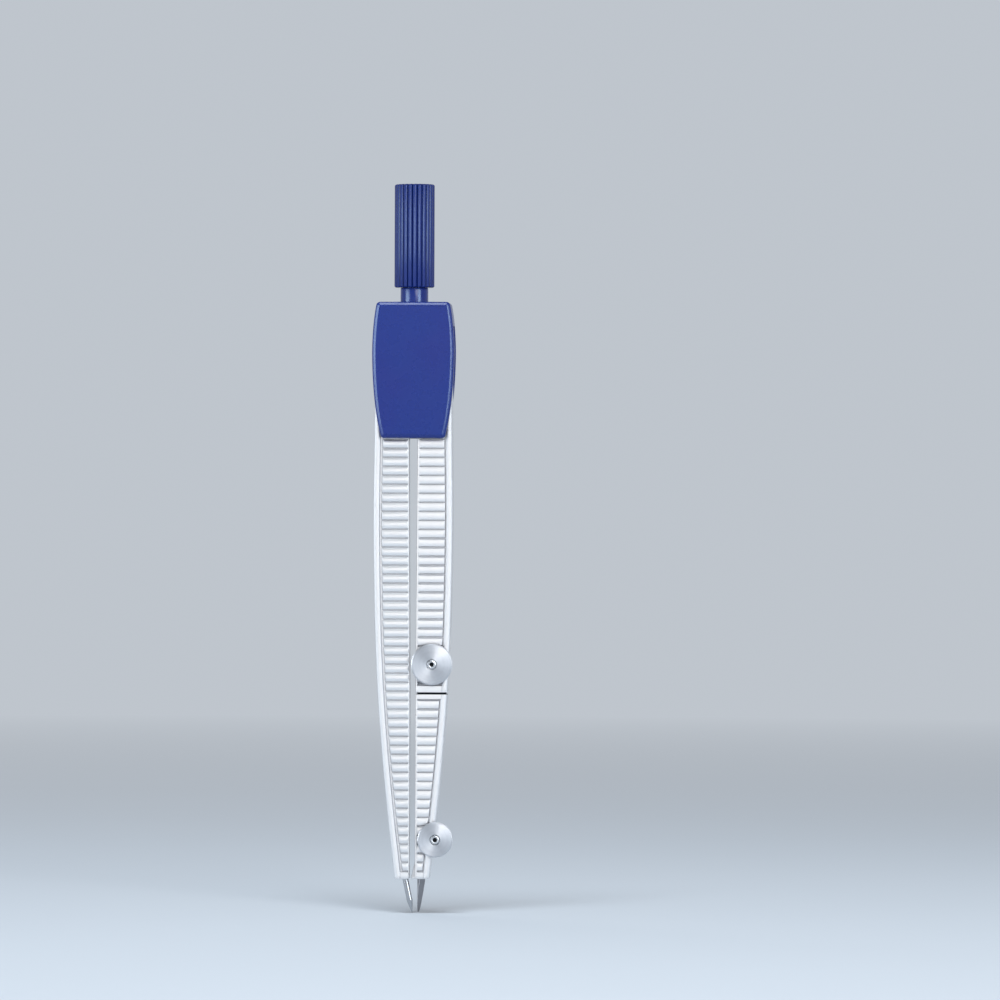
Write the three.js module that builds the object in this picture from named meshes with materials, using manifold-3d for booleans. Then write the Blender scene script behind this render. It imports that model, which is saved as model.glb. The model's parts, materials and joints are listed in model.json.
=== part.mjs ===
// A school drawing compass for 2 mm lead, closed, with geared legs and a plug-in lead insert.
//
// Millimetres, +Z up. The front faces -Y and +X is to the right seen from the front. The origin is the
// needle's tip, on the handle's axis. The left leg (-X) holds the needle and the right leg (+X) the lead.

import * as THREE from "three";
import { mergeGeometries, mergeVertices } from "three/addons/utils/BufferGeometryUtils.js";
import Module from "manifold-3d";

const wasm = await Module();
wasm.setup();

// ---------------------------------------------------------------- driving dimensions

// Heights above the needle's tip
const COMPASS_TOP = 123.7;
const GRIP_BOTTOM = 106.2;
const HEAD_TOP = 103.7;
const HEAD_WIDEST = 95.2;
const HEAD_BOTTOM = 80.6;
const PIVOT_HEIGHT = 97;
const SPLIT_HEIGHT = 37.4;
const LEG_BOTTOM = 5.9;

// Running gap between moving pieces, and the closer gap between fixed ones
const RUNNING_GAP = 0.15;
const FIXED_GAP = 0.06;

// How far solids that are joined run into each other
const OVERLAP = 0.2;

// Handle: a fluted grip on a smooth stem
const GRIP_RADIUS = 3.4;
const FLUTE_COUNT = 24;
const FLUTE_DEPTH = 0.32;
// from +X to the nearest ridge
const FLUTE_TURN = THREE.MathUtils.degToRad(3.3);
const GRIP_EDGE = 0.25;
const GRIP_BORE_TOP = 119;
const NECK_RADIUS = 2.35;
const CORE_RADIUS = 1.8;
const FOOT_BOTTOM = 100.95;
const FOOT_LUG = { halfWidth: 1, low: 101.15, high: 101.75 };

// Head: half widths at the top, the widest level and the bottom, and its depth front to back
const HEAD_TOP_HALF = 6.2;
const HEAD_WIDEST_HALF = 6.95;
const HEAD_BOTTOM_HALF = 5.45;
const HEAD_HALF_DEPTH = 4.5;
const HEAD_EDGE = 0.35;
const HEAD_CORNER = 0.7;
const HEAD_LEAN_AT_CORNER = 0.1;
const SIDE_CONTROL_HALF = 6.9;
const LOWER_SIDE_CONTROL = 86.9;
const UPPER_SIDE_CONTROL = 99.8;
const HEAD_WALL = 1.25;
const SIDE_OPENING_TOP = 99.7;
const LEG_ROOM_HALF_DEPTH = 2.8;
const UPPER_ROOM_HALF = 5.25;

// Hinge: two parallel pins between two steel plates
const PIVOT_OFFSET = 3.25;
const PIN_RADIUS = 1;
const PIN_HALF_LENGTH = 3.95;
const PLATE_INNER_FACE = 2.7;
const PLATE_THICKNESS = 0.5;
const PLATE_END_RADIUS = 2.6;
const PLATE_TOP = 102.15;
const PLATE_WEB_HALF = 2;
const PLATE_TAB_HALF = 2.4;
const WASHER_RADIUS = 2.2;
const WASHER_THICKNESS = 0.42;
const SPOT_FACE_DEPTH = 0.45;

// Cover screws
const COVER_SCREW_OFFSET = 4.75;
const COVER_SCREW_HEIGHT = 101.5;
const COVER_SCREW_RADIUS = 0.5;
const COVER_SCREW_HEAD_RADIUS = 0.95;
const COVER_SCREW_HEAD_SEAT = 3.45;
const COVER_SCREW_HEAD_SUNK = 0.1;
const COVER_SCREW_RECESS = { length: 0.6, halfWidth: 0.13, depth: 0.4 };
const COVER_BOSS_RADIUS = 1;

// Toothed ends of the legs
const TOOTH_MODULE = 0.5;
const PRESSURE_ANGLE = THREE.MathUtils.degToRad(20);
const TOOTH_BACKLASH = 0.12;
const ADDENDUM = 0.8 * TOOTH_MODULE;
const DEDENDUM = 1.2 * TOOTH_MODULE;
const TIP_RADIUS = PIVOT_OFFSET + ADDENDUM;
const ROOT_RADIUS = PIVOT_OFFSET - DEDENDUM;
const TOOTH_COUNT = (2 * PIVOT_OFFSET) / TOOTH_MODULE;
const LEG_TOP_RADIUS = 3.3;
const LEG_TOP_ARC_END = THREE.MathUtils.degToRad(100);

// Legs: distance of the outer and inner edges from the middle, by height
const OUTER_EDGE = [
  [LEG_BOTTOM, 2.92],
  [16, 4.08],
  [26, 5.08],
  [36, 5.85],
  [46, 6.35],
  [56, 6.62],
  [68, 6.75],
  [80, 6.62],
  [PIVOT_HEIGHT, 6.5],
];
const INNER_EDGE_TOP = 0.74;
const INNER_EDGE_BOTTOM = 0.49;
const INNER_EDGE_BEND = 38;
const LEG_HALF_DEPTH_TOP = 2.55;
const LEG_HALF_DEPTH_BOTTOM = 1.9;
const TAPER_TOP = 80;
const LEG_REACH = LEG_HALF_DEPTH_TOP + 0.5;
const OUTLINE_STEP = 4.5;

// Ribbed panel, sunk between an outer and an inner rail on both faces
const OUTER_RAIL = 1.12;
const INNER_RAIL = 0.32;
const PANEL_SINK = 0.12;
const RIB_PITCH = 1.5256;
const GROOVE_WIDTH = 0.5;
const GROOVE_DEPTH = 0.33;
const LOWEST_GROOVE = 7.21;
const PANEL_TOP = 88;
const PANEL_BOTTOM = LEG_BOTTOM + 0.6;
const PLAIN_BAND = 1.15;

// Plug-in joint of the right leg
const INSERT_SCREW = { x: 3.29, z: 42.3 };
const TONGUE_TOP = 48.3;
const TONGUE_ROOT = 1;
const TONGUE_HALF_DEPTH = 0.82;
const TONGUE_SIDE_INSET = 0.25;
const TONGUE_SLOT_HALF = 0.95;
const SOCKET_TOP = 48.6;

// Clamp screws: a turned disc pressed on a threaded stud
const STUD_RADIUS = 0.8;
const STUD_HOLE_RADIUS = 0.88;
const CENTRE_HOLE_RADIUS = 0.38;
const CENTRE_HOLE_DEPTH = 0.75;
const CENTRE_HOLE_CONE = 0.2;
const INSERT_KNOB = { radius: 3.5, thickness: 1.45 };
const LEAD_KNOB = { radius: 3, thickness: 1.35 };
const KNOB_EDGE = 0.18;
const KNOB_SEAT_RADIUS = 2.4;

// Lead and its clamp
const LEAD_SCREW = { x: 3.93, z: 12.6 };
const LEAD_AXIS_X = 1.85;
const LEAD_RADIUS = 1;
const LEAD_TOP = 20.5;
const LEAD_TIP = 0.25;
// the flat that sharpens the lead, turned from +X towards the front
const LEAD_FLAT_TURN = THREE.MathUtils.degToRad(25);
const LEAD_FLAT_SLOPE = 0.147;
const LEAD_EDGE_THICKNESS = 0.06;
const LEAD_BORE_RADIUS = 1.07;
const LEAD_BORE_TOP = 22;
const JAW_TOP = 16.8;
const JAW_PARTING = 0.1;
const EAR_RADIUS = 1.75;
const LIP_TOP = 9.3;
const LIP_REACH = -0.24;
const LIP_FRONT = 0.65;

// Needle, pressed into the left leg
const NEEDLE_RADIUS = 0.5;
const NEEDLE_LENGTH = 13.2;
const NEEDLE_POINT = 2.2;
const NEEDLE_TILT = THREE.MathUtils.degToRad(11.6);

// Facets round a full circle
const FINE = 48;
const PLAIN = 24;

// ---------------------------------------------------------------- solids

/** A closed geometry as a solid that can be joined and cut. */
function solid(geometry) {
  const bare = geometry.clone();
  bare.deleteAttribute("normal");
  bare.deleteAttribute("uv");
  const merged = mergeVertices(bare, 1e-4);
  const vertProperties = merged.attributes.position.array;
  const triVerts = new Uint32Array(merged.index.array);
  return new wasm.Manifold(new wasm.Mesh({ numProp: 3, vertProperties, triVerts }));
}

function join(first, ...others) {
  return others.reduce((all, next) => all.add(next), first);
}

function cut(first, ...others) {
  return others.reduce((left, next) => left.subtract(next), first);
}

/** An outline drawn in X and Z, run between two depths. */
function plateGeometry(shape, yFrom, yTo) {
  const depth = yTo - yFrom;
  const geometry = new THREE.ExtrudeGeometry(shape, { depth, bevelEnabled: false, curveSegments: 12 });
  // the outline's second coordinate becomes Z and the extrusion runs along -Y
  return geometry.rotateX(Math.PI / 2).translate(0, yTo, 0);
}

function plate(shape, yFrom, yTo) {
  return solid(plateGeometry(shape, yFrom, yTo));
}

/** An outline drawn in Y and Z, run along X across both legs. */
function crossBarGeometry(points) {
  const reach = 2 * HEAD_WIDEST_HALF;
  const shape = new THREE.Shape(points.map(([y, z]) => new THREE.Vector2(y, z)));
  const geometry = new THREE.ExtrudeGeometry(shape, { depth: 2 * reach, bevelEnabled: false });
  const [x, y, z] = [new THREE.Vector3(1, 0, 0), new THREE.Vector3(0, 1, 0), new THREE.Vector3(0, 0, 1)];
  return geometry.applyMatrix4(new THREE.Matrix4().makeBasis(y, z, x)).translate(-reach, 0, 0);
}

function block([x0, x1], [y0, y1], [z0, z1]) {
  const geometry = new THREE.BoxGeometry(x1 - x0, y1 - y0, z1 - z0);
  return solid(geometry.translate((x0 + x1) / 2, (y0 + y1) / 2, (z0 + z1) / 2));
}

/** A cylinder along Y at (x, z). */
function crossCylinder(radius, { x, z }, yFrom, yTo, segments = PLAIN) {
  const geometry = new THREE.CylinderGeometry(radius, radius, yTo - yFrom, segments);
  return solid(geometry.translate(x, (yFrom + yTo) / 2, z));
}

/** A cylinder along Z on the axis (x, y). */
function uprightCylinder(radius, [x, y], zFrom, zTo, segments = PLAIN) {
  const geometry = new THREE.CylinderGeometry(radius, radius, zTo - zFrom, segments);
  return solid(geometry.rotateX(Math.PI / 2).translate(x, y, (zFrom + zTo) / 2));
}

/** A profile of [radius, height] pairs turned about its own axis, which is Y until it is placed. */
function turned(profile, segments = PLAIN) {
  const points = profile.map(([radius, height]) => new THREE.Vector2(radius, height));
  return new THREE.LatheGeometry(points, segments);
}

function part(name, shape, look) {
  const made = shape.getMesh();
  const geometry = new THREE.BufferGeometry();
  geometry.setAttribute("position", new THREE.BufferAttribute(made.vertProperties, 3));
  geometry.setIndex(new THREE.BufferAttribute(made.triVerts, 1));
  geometry.computeVertexNormals();
  const mesh = new THREE.Mesh(geometry, new THREE.MeshStandardMaterial(look));
  mesh.name = name;
  return mesh;
}

function group(...members) {
  return new THREE.Group().add(...members);
}

// ---------------------------------------------------------------- looks

const BLUE_PLASTIC = { color: 0x2f3d8a, roughness: 0.38, metalness: 0 };
const CAST_METAL = { color: 0xdfe2e6, roughness: 0.42, metalness: 0.85 };
const SPUN_METAL = { color: 0xd3d8e0, roughness: 0.3, metalness: 1 };
const STEEL = { color: 0xa9adb2, roughness: 0.3, metalness: 1 };
const GRAPHITE = { color: 0x3a3c40, roughness: 0.45, metalness: 0.2 };

// ---------------------------------------------------------------- leg outline

const outerEdgeCurve = new THREE.CubicInterpolant(
  OUTER_EDGE.map(([z]) => z),
  OUTER_EDGE.map(([, x]) => x),
  1,
);

function outerEdge(z) {
  return outerEdgeCurve.evaluate(z)[0];
}

function innerEdge(z) {
  const share = THREE.MathUtils.clamp((z - INNER_EDGE_BEND) / (TAPER_TOP - INNER_EDGE_BEND), 0, 1);
  return THREE.MathUtils.lerp(INNER_EDGE_BOTTOM, INNER_EDGE_TOP, share);
}

/** Half of a leg's front to back thickness. */
function legHalfDepth(z) {
  const share = Math.min((z - LEG_BOTTOM) / (TAPER_TOP - LEG_BOTTOM), 1);
  return THREE.MathUtils.lerp(LEG_HALF_DEPTH_BOTTOM, LEG_HALF_DEPTH_TOP, share);
}

/** A leg's outline between two heights, drawn in X and Z, with its edges moved in by the insets. */
function legOutline(side, low, high, outerInset = 0, innerInset = 0) {
  const steps = Math.ceil((high - low) / OUTLINE_STEP);
  const heights = Array.from({ length: steps + 1 }, (_, i) => low + ((high - low) * i) / steps);
  const outer = heights.map((z) => [outerEdge(z) - outerInset, z]);
  const bends = [INNER_EDGE_BEND, TAPER_TOP].filter((z) => z > low && z < high);
  const inner = [low, ...bends, high].map((z) => [innerEdge(z) + innerInset, z]);
  const points = [...outer, ...inner.reverse()].map(([x, z]) => new THREE.Vector2(side * x, z));
  return new THREE.Shape(points);
}

/** The solid between the legs' two tapering faces, each moved in by sink. */
function betweenFaces(sink = 0) {
  const profile = [0, TAPER_TOP, HEAD_TOP].map((z) => [legHalfDepth(z) - sink, z]);
  const mirrored = profile.map(([y, z]) => [-y, z]).reverse();
  return solid(crossBarGeometry([...profile, ...mirrored]));
}

/** The V grooves between the ribs on both faces, each reaching out past its face. */
function ribGrooves(low, high) {
  const bars = [];
  for (let z = LOWEST_GROOVE; z < high; z += RIB_PITCH) {
    if (z < low) {
      continue;
    }
    const surface = legHalfDepth(z) - PANEL_SINK;
    const vee = [
      [surface - GROOVE_DEPTH, z],
      [surface + GROOVE_DEPTH, z - GROOVE_WIDTH],
      [surface + GROOVE_DEPTH, z + GROOVE_WIDTH],
    ];
    bars.push(crossBarGeometry(vee), crossBarGeometry(vee.map(([y, height]) => [-y, height])));
  }
  return solid(mergeGeometries(bars));
}

/** What is cut from both faces of a leg to leave ribs between its rails. */
function panelCut(side, low, high) {
  const panel = plate(legOutline(side, low, high, OUTER_RAIL, INNER_RAIL), -LEG_REACH, LEG_REACH);
  const sunk = cut(panel, betweenFaces(PANEL_SINK));
  return join(sunk, panel.intersect(ribGrooves(low + GROOVE_WIDTH, high - GROOVE_WIDTH)));
}

/** A stretch of leg between two heights, not yet brought to its thickness. */
function legPlate(side, low, high) {
  return plate(legOutline(side, low, high), -LEG_REACH, LEG_REACH);
}

// ---------------------------------------------------------------- toothed leg tops

function polar(radius, angle) {
  return new THREE.Vector2(radius * Math.cos(angle), radius * Math.sin(angle));
}

/** Half the angle that an involute tooth takes up at a radius. */
function toothHalfAngle(radius) {
  const involute = (angle) => Math.tan(angle) - angle;
  const baseRadius = PIVOT_OFFSET * Math.cos(PRESSURE_ANGLE);
  const atPitch = Math.PI / (2 * TOOTH_COUNT) - TOOTH_BACKLASH / 2 / PIVOT_OFFSET;
  const atBase = atPitch + involute(PRESSURE_ANGLE);
  return radius <= baseRadius ? atBase : atBase - involute(Math.acos(baseRadius / radius));
}

function toothOutline(angle) {
  const baseRadius = PIVOT_OFFSET * Math.cos(PRESSURE_ANGLE);
  const middle = (baseRadius + TIP_RADIUS) / 2;
  const radii = [ROOT_RADIUS - OVERLAP, baseRadius, middle, TIP_RADIUS];
  const rising = radii.map((r) => polar(r, angle - toothHalfAngle(r)));
  const falling = radii.map((r) => polar(r, angle + toothHalfAngle(r))).reverse();
  return [...rising, ...falling];
}

/** The round top of a leg about its own pivot, drawn for the right leg, with teeth at the given angles. */
function toothedTop(side, toothAngles) {
  const centre = new THREE.Vector2(PIVOT_OFFSET, PIVOT_HEIGHT);
  const place = (point) => new THREE.Vector2(side * (point.x + centre.x), point.y + centre.y);
  const round = new THREE.Shape();
  round.absarc(0, 0, LEG_TOP_RADIUS, -Math.PI / 2, LEG_TOP_ARC_END, false);
  round.absarc(0, 0, ROOT_RADIUS, LEG_TOP_ARC_END, (3 * Math.PI) / 2, false);
  const outlines = [round.getPoints(PLAIN / 2), ...toothAngles.map(toothOutline)];
  const shapes = outlines.map((points) => new THREE.Shape(points.map(place)));
  return join(...shapes.map((shape) => plate(shape, -LEG_REACH, LEG_REACH)));
}

/** The pin bore and the two spot faces that the friction washers sit in. */
function pivotCuts(side) {
  const at = { x: side * PIVOT_OFFSET, z: PIVOT_HEIGHT };
  const seat = LEG_HALF_DEPTH_TOP - SPOT_FACE_DEPTH;
  const seatRadius = WASHER_RADIUS + RUNNING_GAP;
  return [
    crossCylinder(PIN_RADIUS + FIXED_GAP, at, -LEG_REACH, LEG_REACH),
    crossCylinder(seatRadius, at, seat, LEG_REACH),
    crossCylinder(seatRadius, at, -LEG_REACH, -seat),
  ];
}

// ---------------------------------------------------------------- left leg and needle

const TOOTH_ANGLE = (2 * Math.PI) / TOOTH_COUNT;

/** From the needle's tip, up and to the left by its tilt. */
function placeOnNeedleAxis(geometry) {
  return geometry.rotateX(Math.PI / 2).rotateY(-NEEDLE_TILT);
}

function makeLeftLeg() {
  const side = -1;
  // a tooth points straight at the other leg's pivot, and the next two follow it upwards
  const toothAngles = [0, 1, 2].map((i) => Math.PI - i * TOOTH_ANGLE);
  const blank = join(legPlate(side, LEG_BOTTOM, PIVOT_HEIGHT), toothedTop(side, toothAngles));
  const boreRadius = NEEDLE_RADIUS + FIXED_GAP;
  const boreLength = NEEDLE_LENGTH + RUNNING_GAP;
  const bore = new THREE.CylinderGeometry(boreRadius, boreRadius, boreLength, PLAIN / 2);
  bore.translate(0, boreLength / 2, 0);
  const cuts = [panelCut(side, PANEL_BOTTOM, PANEL_TOP), ...pivotCuts(side)];
  return cut(blank.intersect(betweenFaces()), ...cuts, solid(placeOnNeedleAxis(bore)));
}

function makeNeedle() {
  const profile = [
    [0, 0],
    [NEEDLE_RADIUS, NEEDLE_POINT],
    [NEEDLE_RADIUS, NEEDLE_LENGTH],
    [0, NEEDLE_LENGTH],
  ];
  return solid(placeOnNeedleAxis(turned(profile, PLAIN / 2)));
}

// ---------------------------------------------------------------- right leg

function makeRightUpperLeg() {
  const side = 1;
  const low = SPLIT_HEIGHT + RUNNING_GAP;
  // the left leg's tooth points at the gap between the two lowest of these
  const toothAngles = [-0.5, 0.5, 1.5, 2.5].map((i) => Math.PI - i * TOOTH_ANGLE);
  const blank = join(legPlate(side, low, PIVOT_HEIGHT), toothedTop(side, toothAngles));
  const knobSeat = crossCylinder(KNOB_SEAT_RADIUS, INSERT_SCREW, -LEG_REACH, 0);
  const panel = cut(panelCut(side, low + PLAIN_BAND, PANEL_TOP), knobSeat);
  const socketHalfDepth = TONGUE_HALF_DEPTH + RUNNING_GAP;
  const socket = block([0, 2 * HEAD_WIDEST_HALF], [-socketHalfDepth, socketHalfDepth], [0, SOCKET_TOP]);
  const studHole = crossCylinder(STUD_HOLE_RADIUS, INSERT_SCREW, -LEG_REACH, LEG_REACH);
  return cut(blank.intersect(betweenFaces()), panel, socket, studHole, ...pivotCuts(side));
}

/** The lower end of the right leg, with an ear for the lead screw, before its clamp is split in two. */
function makeInsertBlank(...extras) {
  const side = 1;
  const high = SPLIT_HEIGHT - RUNNING_GAP / 2;
  const ear = crossCylinder(EAR_RADIUS, LEAD_SCREW, -LEG_REACH, LEG_REACH);
  const blank = join(legPlate(side, LEG_BOTTOM, high), ear, ...extras).intersect(betweenFaces());
  const panel = cut(panelCut(side, PANEL_BOTTOM, high - PLAIN_BAND), ear);
  const leadBore = uprightCylinder(LEAD_BORE_RADIUS, [LEAD_AXIS_X, 0], 0, LEAD_BORE_TOP);
  const studHole = crossCylinder(STUD_HOLE_RADIUS, LEAD_SCREW, -LEG_REACH, LEG_REACH);
  return cut(blank, panel, leadBore, studHole);
}

/** The flat tongue that plugs into the upper leg, with a slot that is open at the top. */
function makeTongue() {
  const foot = SPLIT_HEIGHT - TONGUE_ROOT;
  const outline = legOutline(1, foot, TONGUE_TOP, TONGUE_SIDE_INSET, TONGUE_SIDE_INSET);
  const tongue = plate(outline, -TONGUE_HALF_DEPTH, TONGUE_HALF_DEPTH);
  const { x, z } = INSERT_SCREW;
  const depth = [-LEG_REACH, LEG_REACH];
  const slotEnd = crossCylinder(TONGUE_SLOT_HALF, INSERT_SCREW, ...depth);
  const slot = block([x - TONGUE_SLOT_HALF, x + TONGUE_SLOT_HALF], depth, [z, SOCKET_TOP]);
  return cut(tongue, slotEnd, slot);
}

function makeLeadInsert() {
  const wide = 2 * HEAD_WIDEST_HALF;
  const behind = block([-wide, wide], [-JAW_PARTING, HEAD_HALF_DEPTH], [0, JAW_TOP + 2 * JAW_PARTING]);
  return join(cut(makeInsertBlank(), behind), makeTongue());
}

/** The flared inner edge at the foot of the jaw, set back far enough to pass behind the needle. */
function makeJawLip() {
  const root = INNER_EDGE_BOTTOM + OVERLAP;
  const points = [
    [LIP_REACH, LEG_BOTTOM],
    [root, LEG_BOTTOM],
    [root, LIP_TOP],
    [INNER_EDGE_BOTTOM, LIP_TOP],
  ];
  const outline = new THREE.Shape(points.map(([x, z]) => new THREE.Vector2(x, z)));
  return plate(outline, LIP_FRONT, LEG_REACH);
}

function makeLeadClampJaw() {
  const wide = 2 * HEAD_WIDEST_HALF;
  const rear = block([-wide, wide], [JAW_PARTING, HEAD_HALF_DEPTH], [0, JAW_TOP]);
  return makeInsertBlank(makeJawLip()).intersect(rear);
}

// ---------------------------------------------------------------- clamp screws

/** A turned disc in front of the leg's face, with a chamfer round its front and back edges. */
function makeKnob({ radius, thickness }, at) {
  const back = -legHalfDepth(at.z) - FIXED_GAP;
  const bore = STUD_RADIUS + FIXED_GAP;
  const front = back - thickness;
  const profile = [
    [bore, front],
    [radius - KNOB_EDGE, front],
    [radius, front + KNOB_EDGE],
    [radius, back - KNOB_EDGE],
    [radius - KNOB_EDGE, back],
    [bore, back],
    [bore, front],
  ];
  return solid(turned(profile, FINE).translate(at.x, 0, at.z));
}

/** The stud through a knob, flush with its face, with a drilled centre. */
function makeStud({ thickness }, at) {
  const front = -legHalfDepth(at.z) - FIXED_GAP - thickness;
  const profile = [
    [0, front + CENTRE_HOLE_DEPTH + CENTRE_HOLE_CONE],
    [CENTRE_HOLE_RADIUS, front + CENTRE_HOLE_DEPTH],
    [CENTRE_HOLE_RADIUS, front],
    [STUD_RADIUS, front],
    [STUD_RADIUS, legHalfDepth(at.z) - FIXED_GAP],
    [0, legHalfDepth(at.z) - FIXED_GAP],
  ];
  return solid(turned(profile).translate(at.x, 0, at.z));
}

// ---------------------------------------------------------------- lead

/** A round lead, sharpened by one slanting flat to an edge at its foot. */
function makeLead() {
  const rod = uprightCylinder(LEAD_RADIUS, [LEAD_AXIS_X, 0], LEAD_TIP, LEAD_TOP);
  // the first coordinate runs from the lead's axis the way that the flat faces
  const edge = LEAD_EDGE_THICKNESS - LEAD_RADIUS;
  const reach = 3 * LEAD_RADIUS;
  const points = [
    [edge, LEAD_TIP],
    [edge + reach, LEAD_TIP + reach / LEAD_FLAT_SLOPE],
    [edge + reach, LEAD_TIP - 1],
    [edge - LEAD_FLAT_SLOPE, LEAD_TIP - 1],
  ];
  const outline = new THREE.Shape(points.map(([along, z]) => new THREE.Vector2(along, z)));
  const waste = plateGeometry(outline, -2 * LEAD_RADIUS, 2 * LEAD_RADIUS);
  waste.rotateZ(-LEAD_FLAT_TURN).translate(LEAD_AXIS_X, 0, 0);
  return cut(rod, solid(waste));
}

// ---------------------------------------------------------------- head

/** The head's outline in X and Z: barrel sided, widest above the middle, with small round corners. */
function headOutline() {
  const shape = new THREE.Shape();
  const lowerCorner = [HEAD_BOTTOM_HALF + HEAD_LEAN_AT_CORNER, HEAD_BOTTOM + HEAD_CORNER];
  const upperCorner = [HEAD_TOP_HALF + HEAD_LEAN_AT_CORNER, HEAD_TOP - HEAD_CORNER];
  shape.moveTo(0, HEAD_BOTTOM);
  shape.lineTo(HEAD_BOTTOM_HALF - HEAD_CORNER, HEAD_BOTTOM);
  shape.quadraticCurveTo(HEAD_BOTTOM_HALF, HEAD_BOTTOM, ...lowerCorner);
  shape.quadraticCurveTo(SIDE_CONTROL_HALF, LOWER_SIDE_CONTROL, HEAD_WIDEST_HALF, HEAD_WIDEST);
  shape.quadraticCurveTo(SIDE_CONTROL_HALF, UPPER_SIDE_CONTROL, ...upperCorner);
  shape.quadraticCurveTo(HEAD_TOP_HALF, HEAD_TOP, HEAD_TOP_HALF - HEAD_CORNER, HEAD_TOP);
  const right = shape.getPoints(4);
  const left = right.map(({ x, y }) => new THREE.Vector2(-x, y)).reverse();
  return new THREE.Shape([...right, ...left.slice(0, -1)]);
}

/** The whole head as one block with its front and back edges chamfered. */
function headEnvelope() {
  const depth = 2 * (HEAD_HALF_DEPTH - HEAD_EDGE);
  const geometry = new THREE.ExtrudeGeometry(headOutline(), {
    depth,
    bevelThickness: HEAD_EDGE,
    bevelSize: HEAD_EDGE,
    bevelOffset: -HEAD_EDGE,
    bevelSegments: 1,
  });
  geometry.rotateX(Math.PI / 2).translate(0, depth / 2, 0);
  return solid(geometry);
}

function pivots() {
  return [-1, 1].map((side) => ({ x: side * PIVOT_OFFSET, z: PIVOT_HEIGHT }));
}

function coverScrewPlaces() {
  return [-1, 1].map((side) => ({ x: side * COVER_SCREW_OFFSET, z: COVER_SCREW_HEIGHT }));
}

/** The steel plate that carries the pins, grown all round where it is cut out of the shells. */
function bearingPlateSolid(yFrom, yTo, grow = 0) {
  const radius = PLATE_END_RADIUS + grow;
  const webHalf = PLATE_WEB_HALF + grow;
  const tabHalf = PLATE_TAB_HALF + grow;
  const depth = [yFrom, yTo];
  return join(
    ...pivots().map((at) => crossCylinder(radius, at, ...depth)),
    block([-PIVOT_OFFSET, PIVOT_OFFSET], depth, [PIVOT_HEIGHT - webHalf, PIVOT_HEIGHT + webHalf]),
    block([-tabHalf, tabHalf], depth, [PIVOT_HEIGHT, PLATE_TOP + grow]),
  );
}

/** The head's inside: room for the legs to swing out at the sides, the plates' pockets and the pins' ends. */
function headHollow() {
  const wide = 2 * HEAD_WIDEST_HALF;
  const depth = [-LEG_ROOM_HALF_DEPTH, LEG_ROOM_HALF_DEPTH];
  const ceiling = HEAD_TOP - HEAD_WALL;
  const pocket = PLATE_INNER_FACE + PLATE_THICKNESS + RUNNING_GAP / 2;
  const pinEnd = PIN_HALF_LENGTH + RUNNING_GAP;
  return join(
    block([-wide, wide], depth, [HEAD_BOTTOM - 1, SIDE_OPENING_TOP]),
    block([-UPPER_ROOM_HALF, UPPER_ROOM_HALF], depth, [SIDE_OPENING_TOP - 1, ceiling]),
    bearingPlateSolid(-pocket, pocket, RUNNING_GAP),
    uprightCylinder(NECK_RADIUS + FIXED_GAP, [0, 0], ceiling - 1, HEAD_TOP + 1, FINE),
    ...pivots().map((at) => crossCylinder(PIN_RADIUS + FIXED_GAP, at, -pinEnd, pinEnd)),
  );
}

/** The two shells' common shape before they are parted, with a boss for each cover screw. */
function makeHead() {
  const bossHalf = LEG_ROOM_HALF_DEPTH + OVERLAP;
  const bosses = coverScrewPlaces().map((at) => crossCylinder(COVER_BOSS_RADIUS, at, -bossHalf, bossHalf));
  const shankHole = COVER_SCREW_RADIUS + FIXED_GAP;
  const headHole = COVER_SCREW_HEAD_RADIUS + FIXED_GAP;
  const holes = coverScrewPlaces().flatMap((at) => [
    crossCylinder(shankHole, at, -COVER_SCREW_HEAD_SEAT, HEAD_HALF_DEPTH + 1),
    crossCylinder(headHole, at, COVER_SCREW_HEAD_SEAT, HEAD_HALF_DEPTH + 1),
  ]);
  return cut(join(cut(headEnvelope(), headHollow()), ...bosses), ...holes);
}

/** One half of the head, on the -Y or the +Y side of the parting plane. */
function makeShell(face) {
  const wide = 2 * HEAD_WIDEST_HALF;
  const parting = FIXED_GAP / 2;
  const span = face < 0 ? [-wide, -parting] : [parting, wide];
  return makeHead().intersect(block([-wide, wide], span, [HEAD_BOTTOM - 1, HEAD_TOP + 1]));
}

function makeBearingPlate(face) {
  const near = PLATE_INNER_FACE;
  const far = PLATE_INNER_FACE + PLATE_THICKNESS;
  const span = face < 0 ? [-far, -near] : [near, far];
  const holeSpan = [-HEAD_HALF_DEPTH, HEAD_HALF_DEPTH];
  const halfWindow = FOOT_LUG.halfWidth + FIXED_GAP;
  const window = [FOOT_LUG.low - FIXED_GAP, FOOT_LUG.high + FIXED_GAP];
  const holes = pivots().map((at) => crossCylinder(PIN_RADIUS + FIXED_GAP, at, ...holeSpan));
  return cut(bearingPlateSolid(...span), ...holes, block([-halfWindow, halfWindow], holeSpan, window));
}

function makeHingePin(side) {
  const at = { x: side * PIVOT_OFFSET, z: PIVOT_HEIGHT };
  return crossCylinder(PIN_RADIUS, at, -PIN_HALF_LENGTH, PIN_HALF_LENGTH);
}

function makeFrictionWasher(side, face) {
  const at = { x: side * PIVOT_OFFSET, z: PIVOT_HEIGHT };
  const near = LEG_HALF_DEPTH_TOP - SPOT_FACE_DEPTH + FIXED_GAP;
  const far = near + WASHER_THICKNESS;
  const span = face < 0 ? [-far, -near] : [near, far];
  const hole = crossCylinder(PIN_RADIUS + RUNNING_GAP, at, -HEAD_HALF_DEPTH, HEAD_HALF_DEPTH);
  return cut(crossCylinder(WASHER_RADIUS, at, ...span), hole);
}

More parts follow.
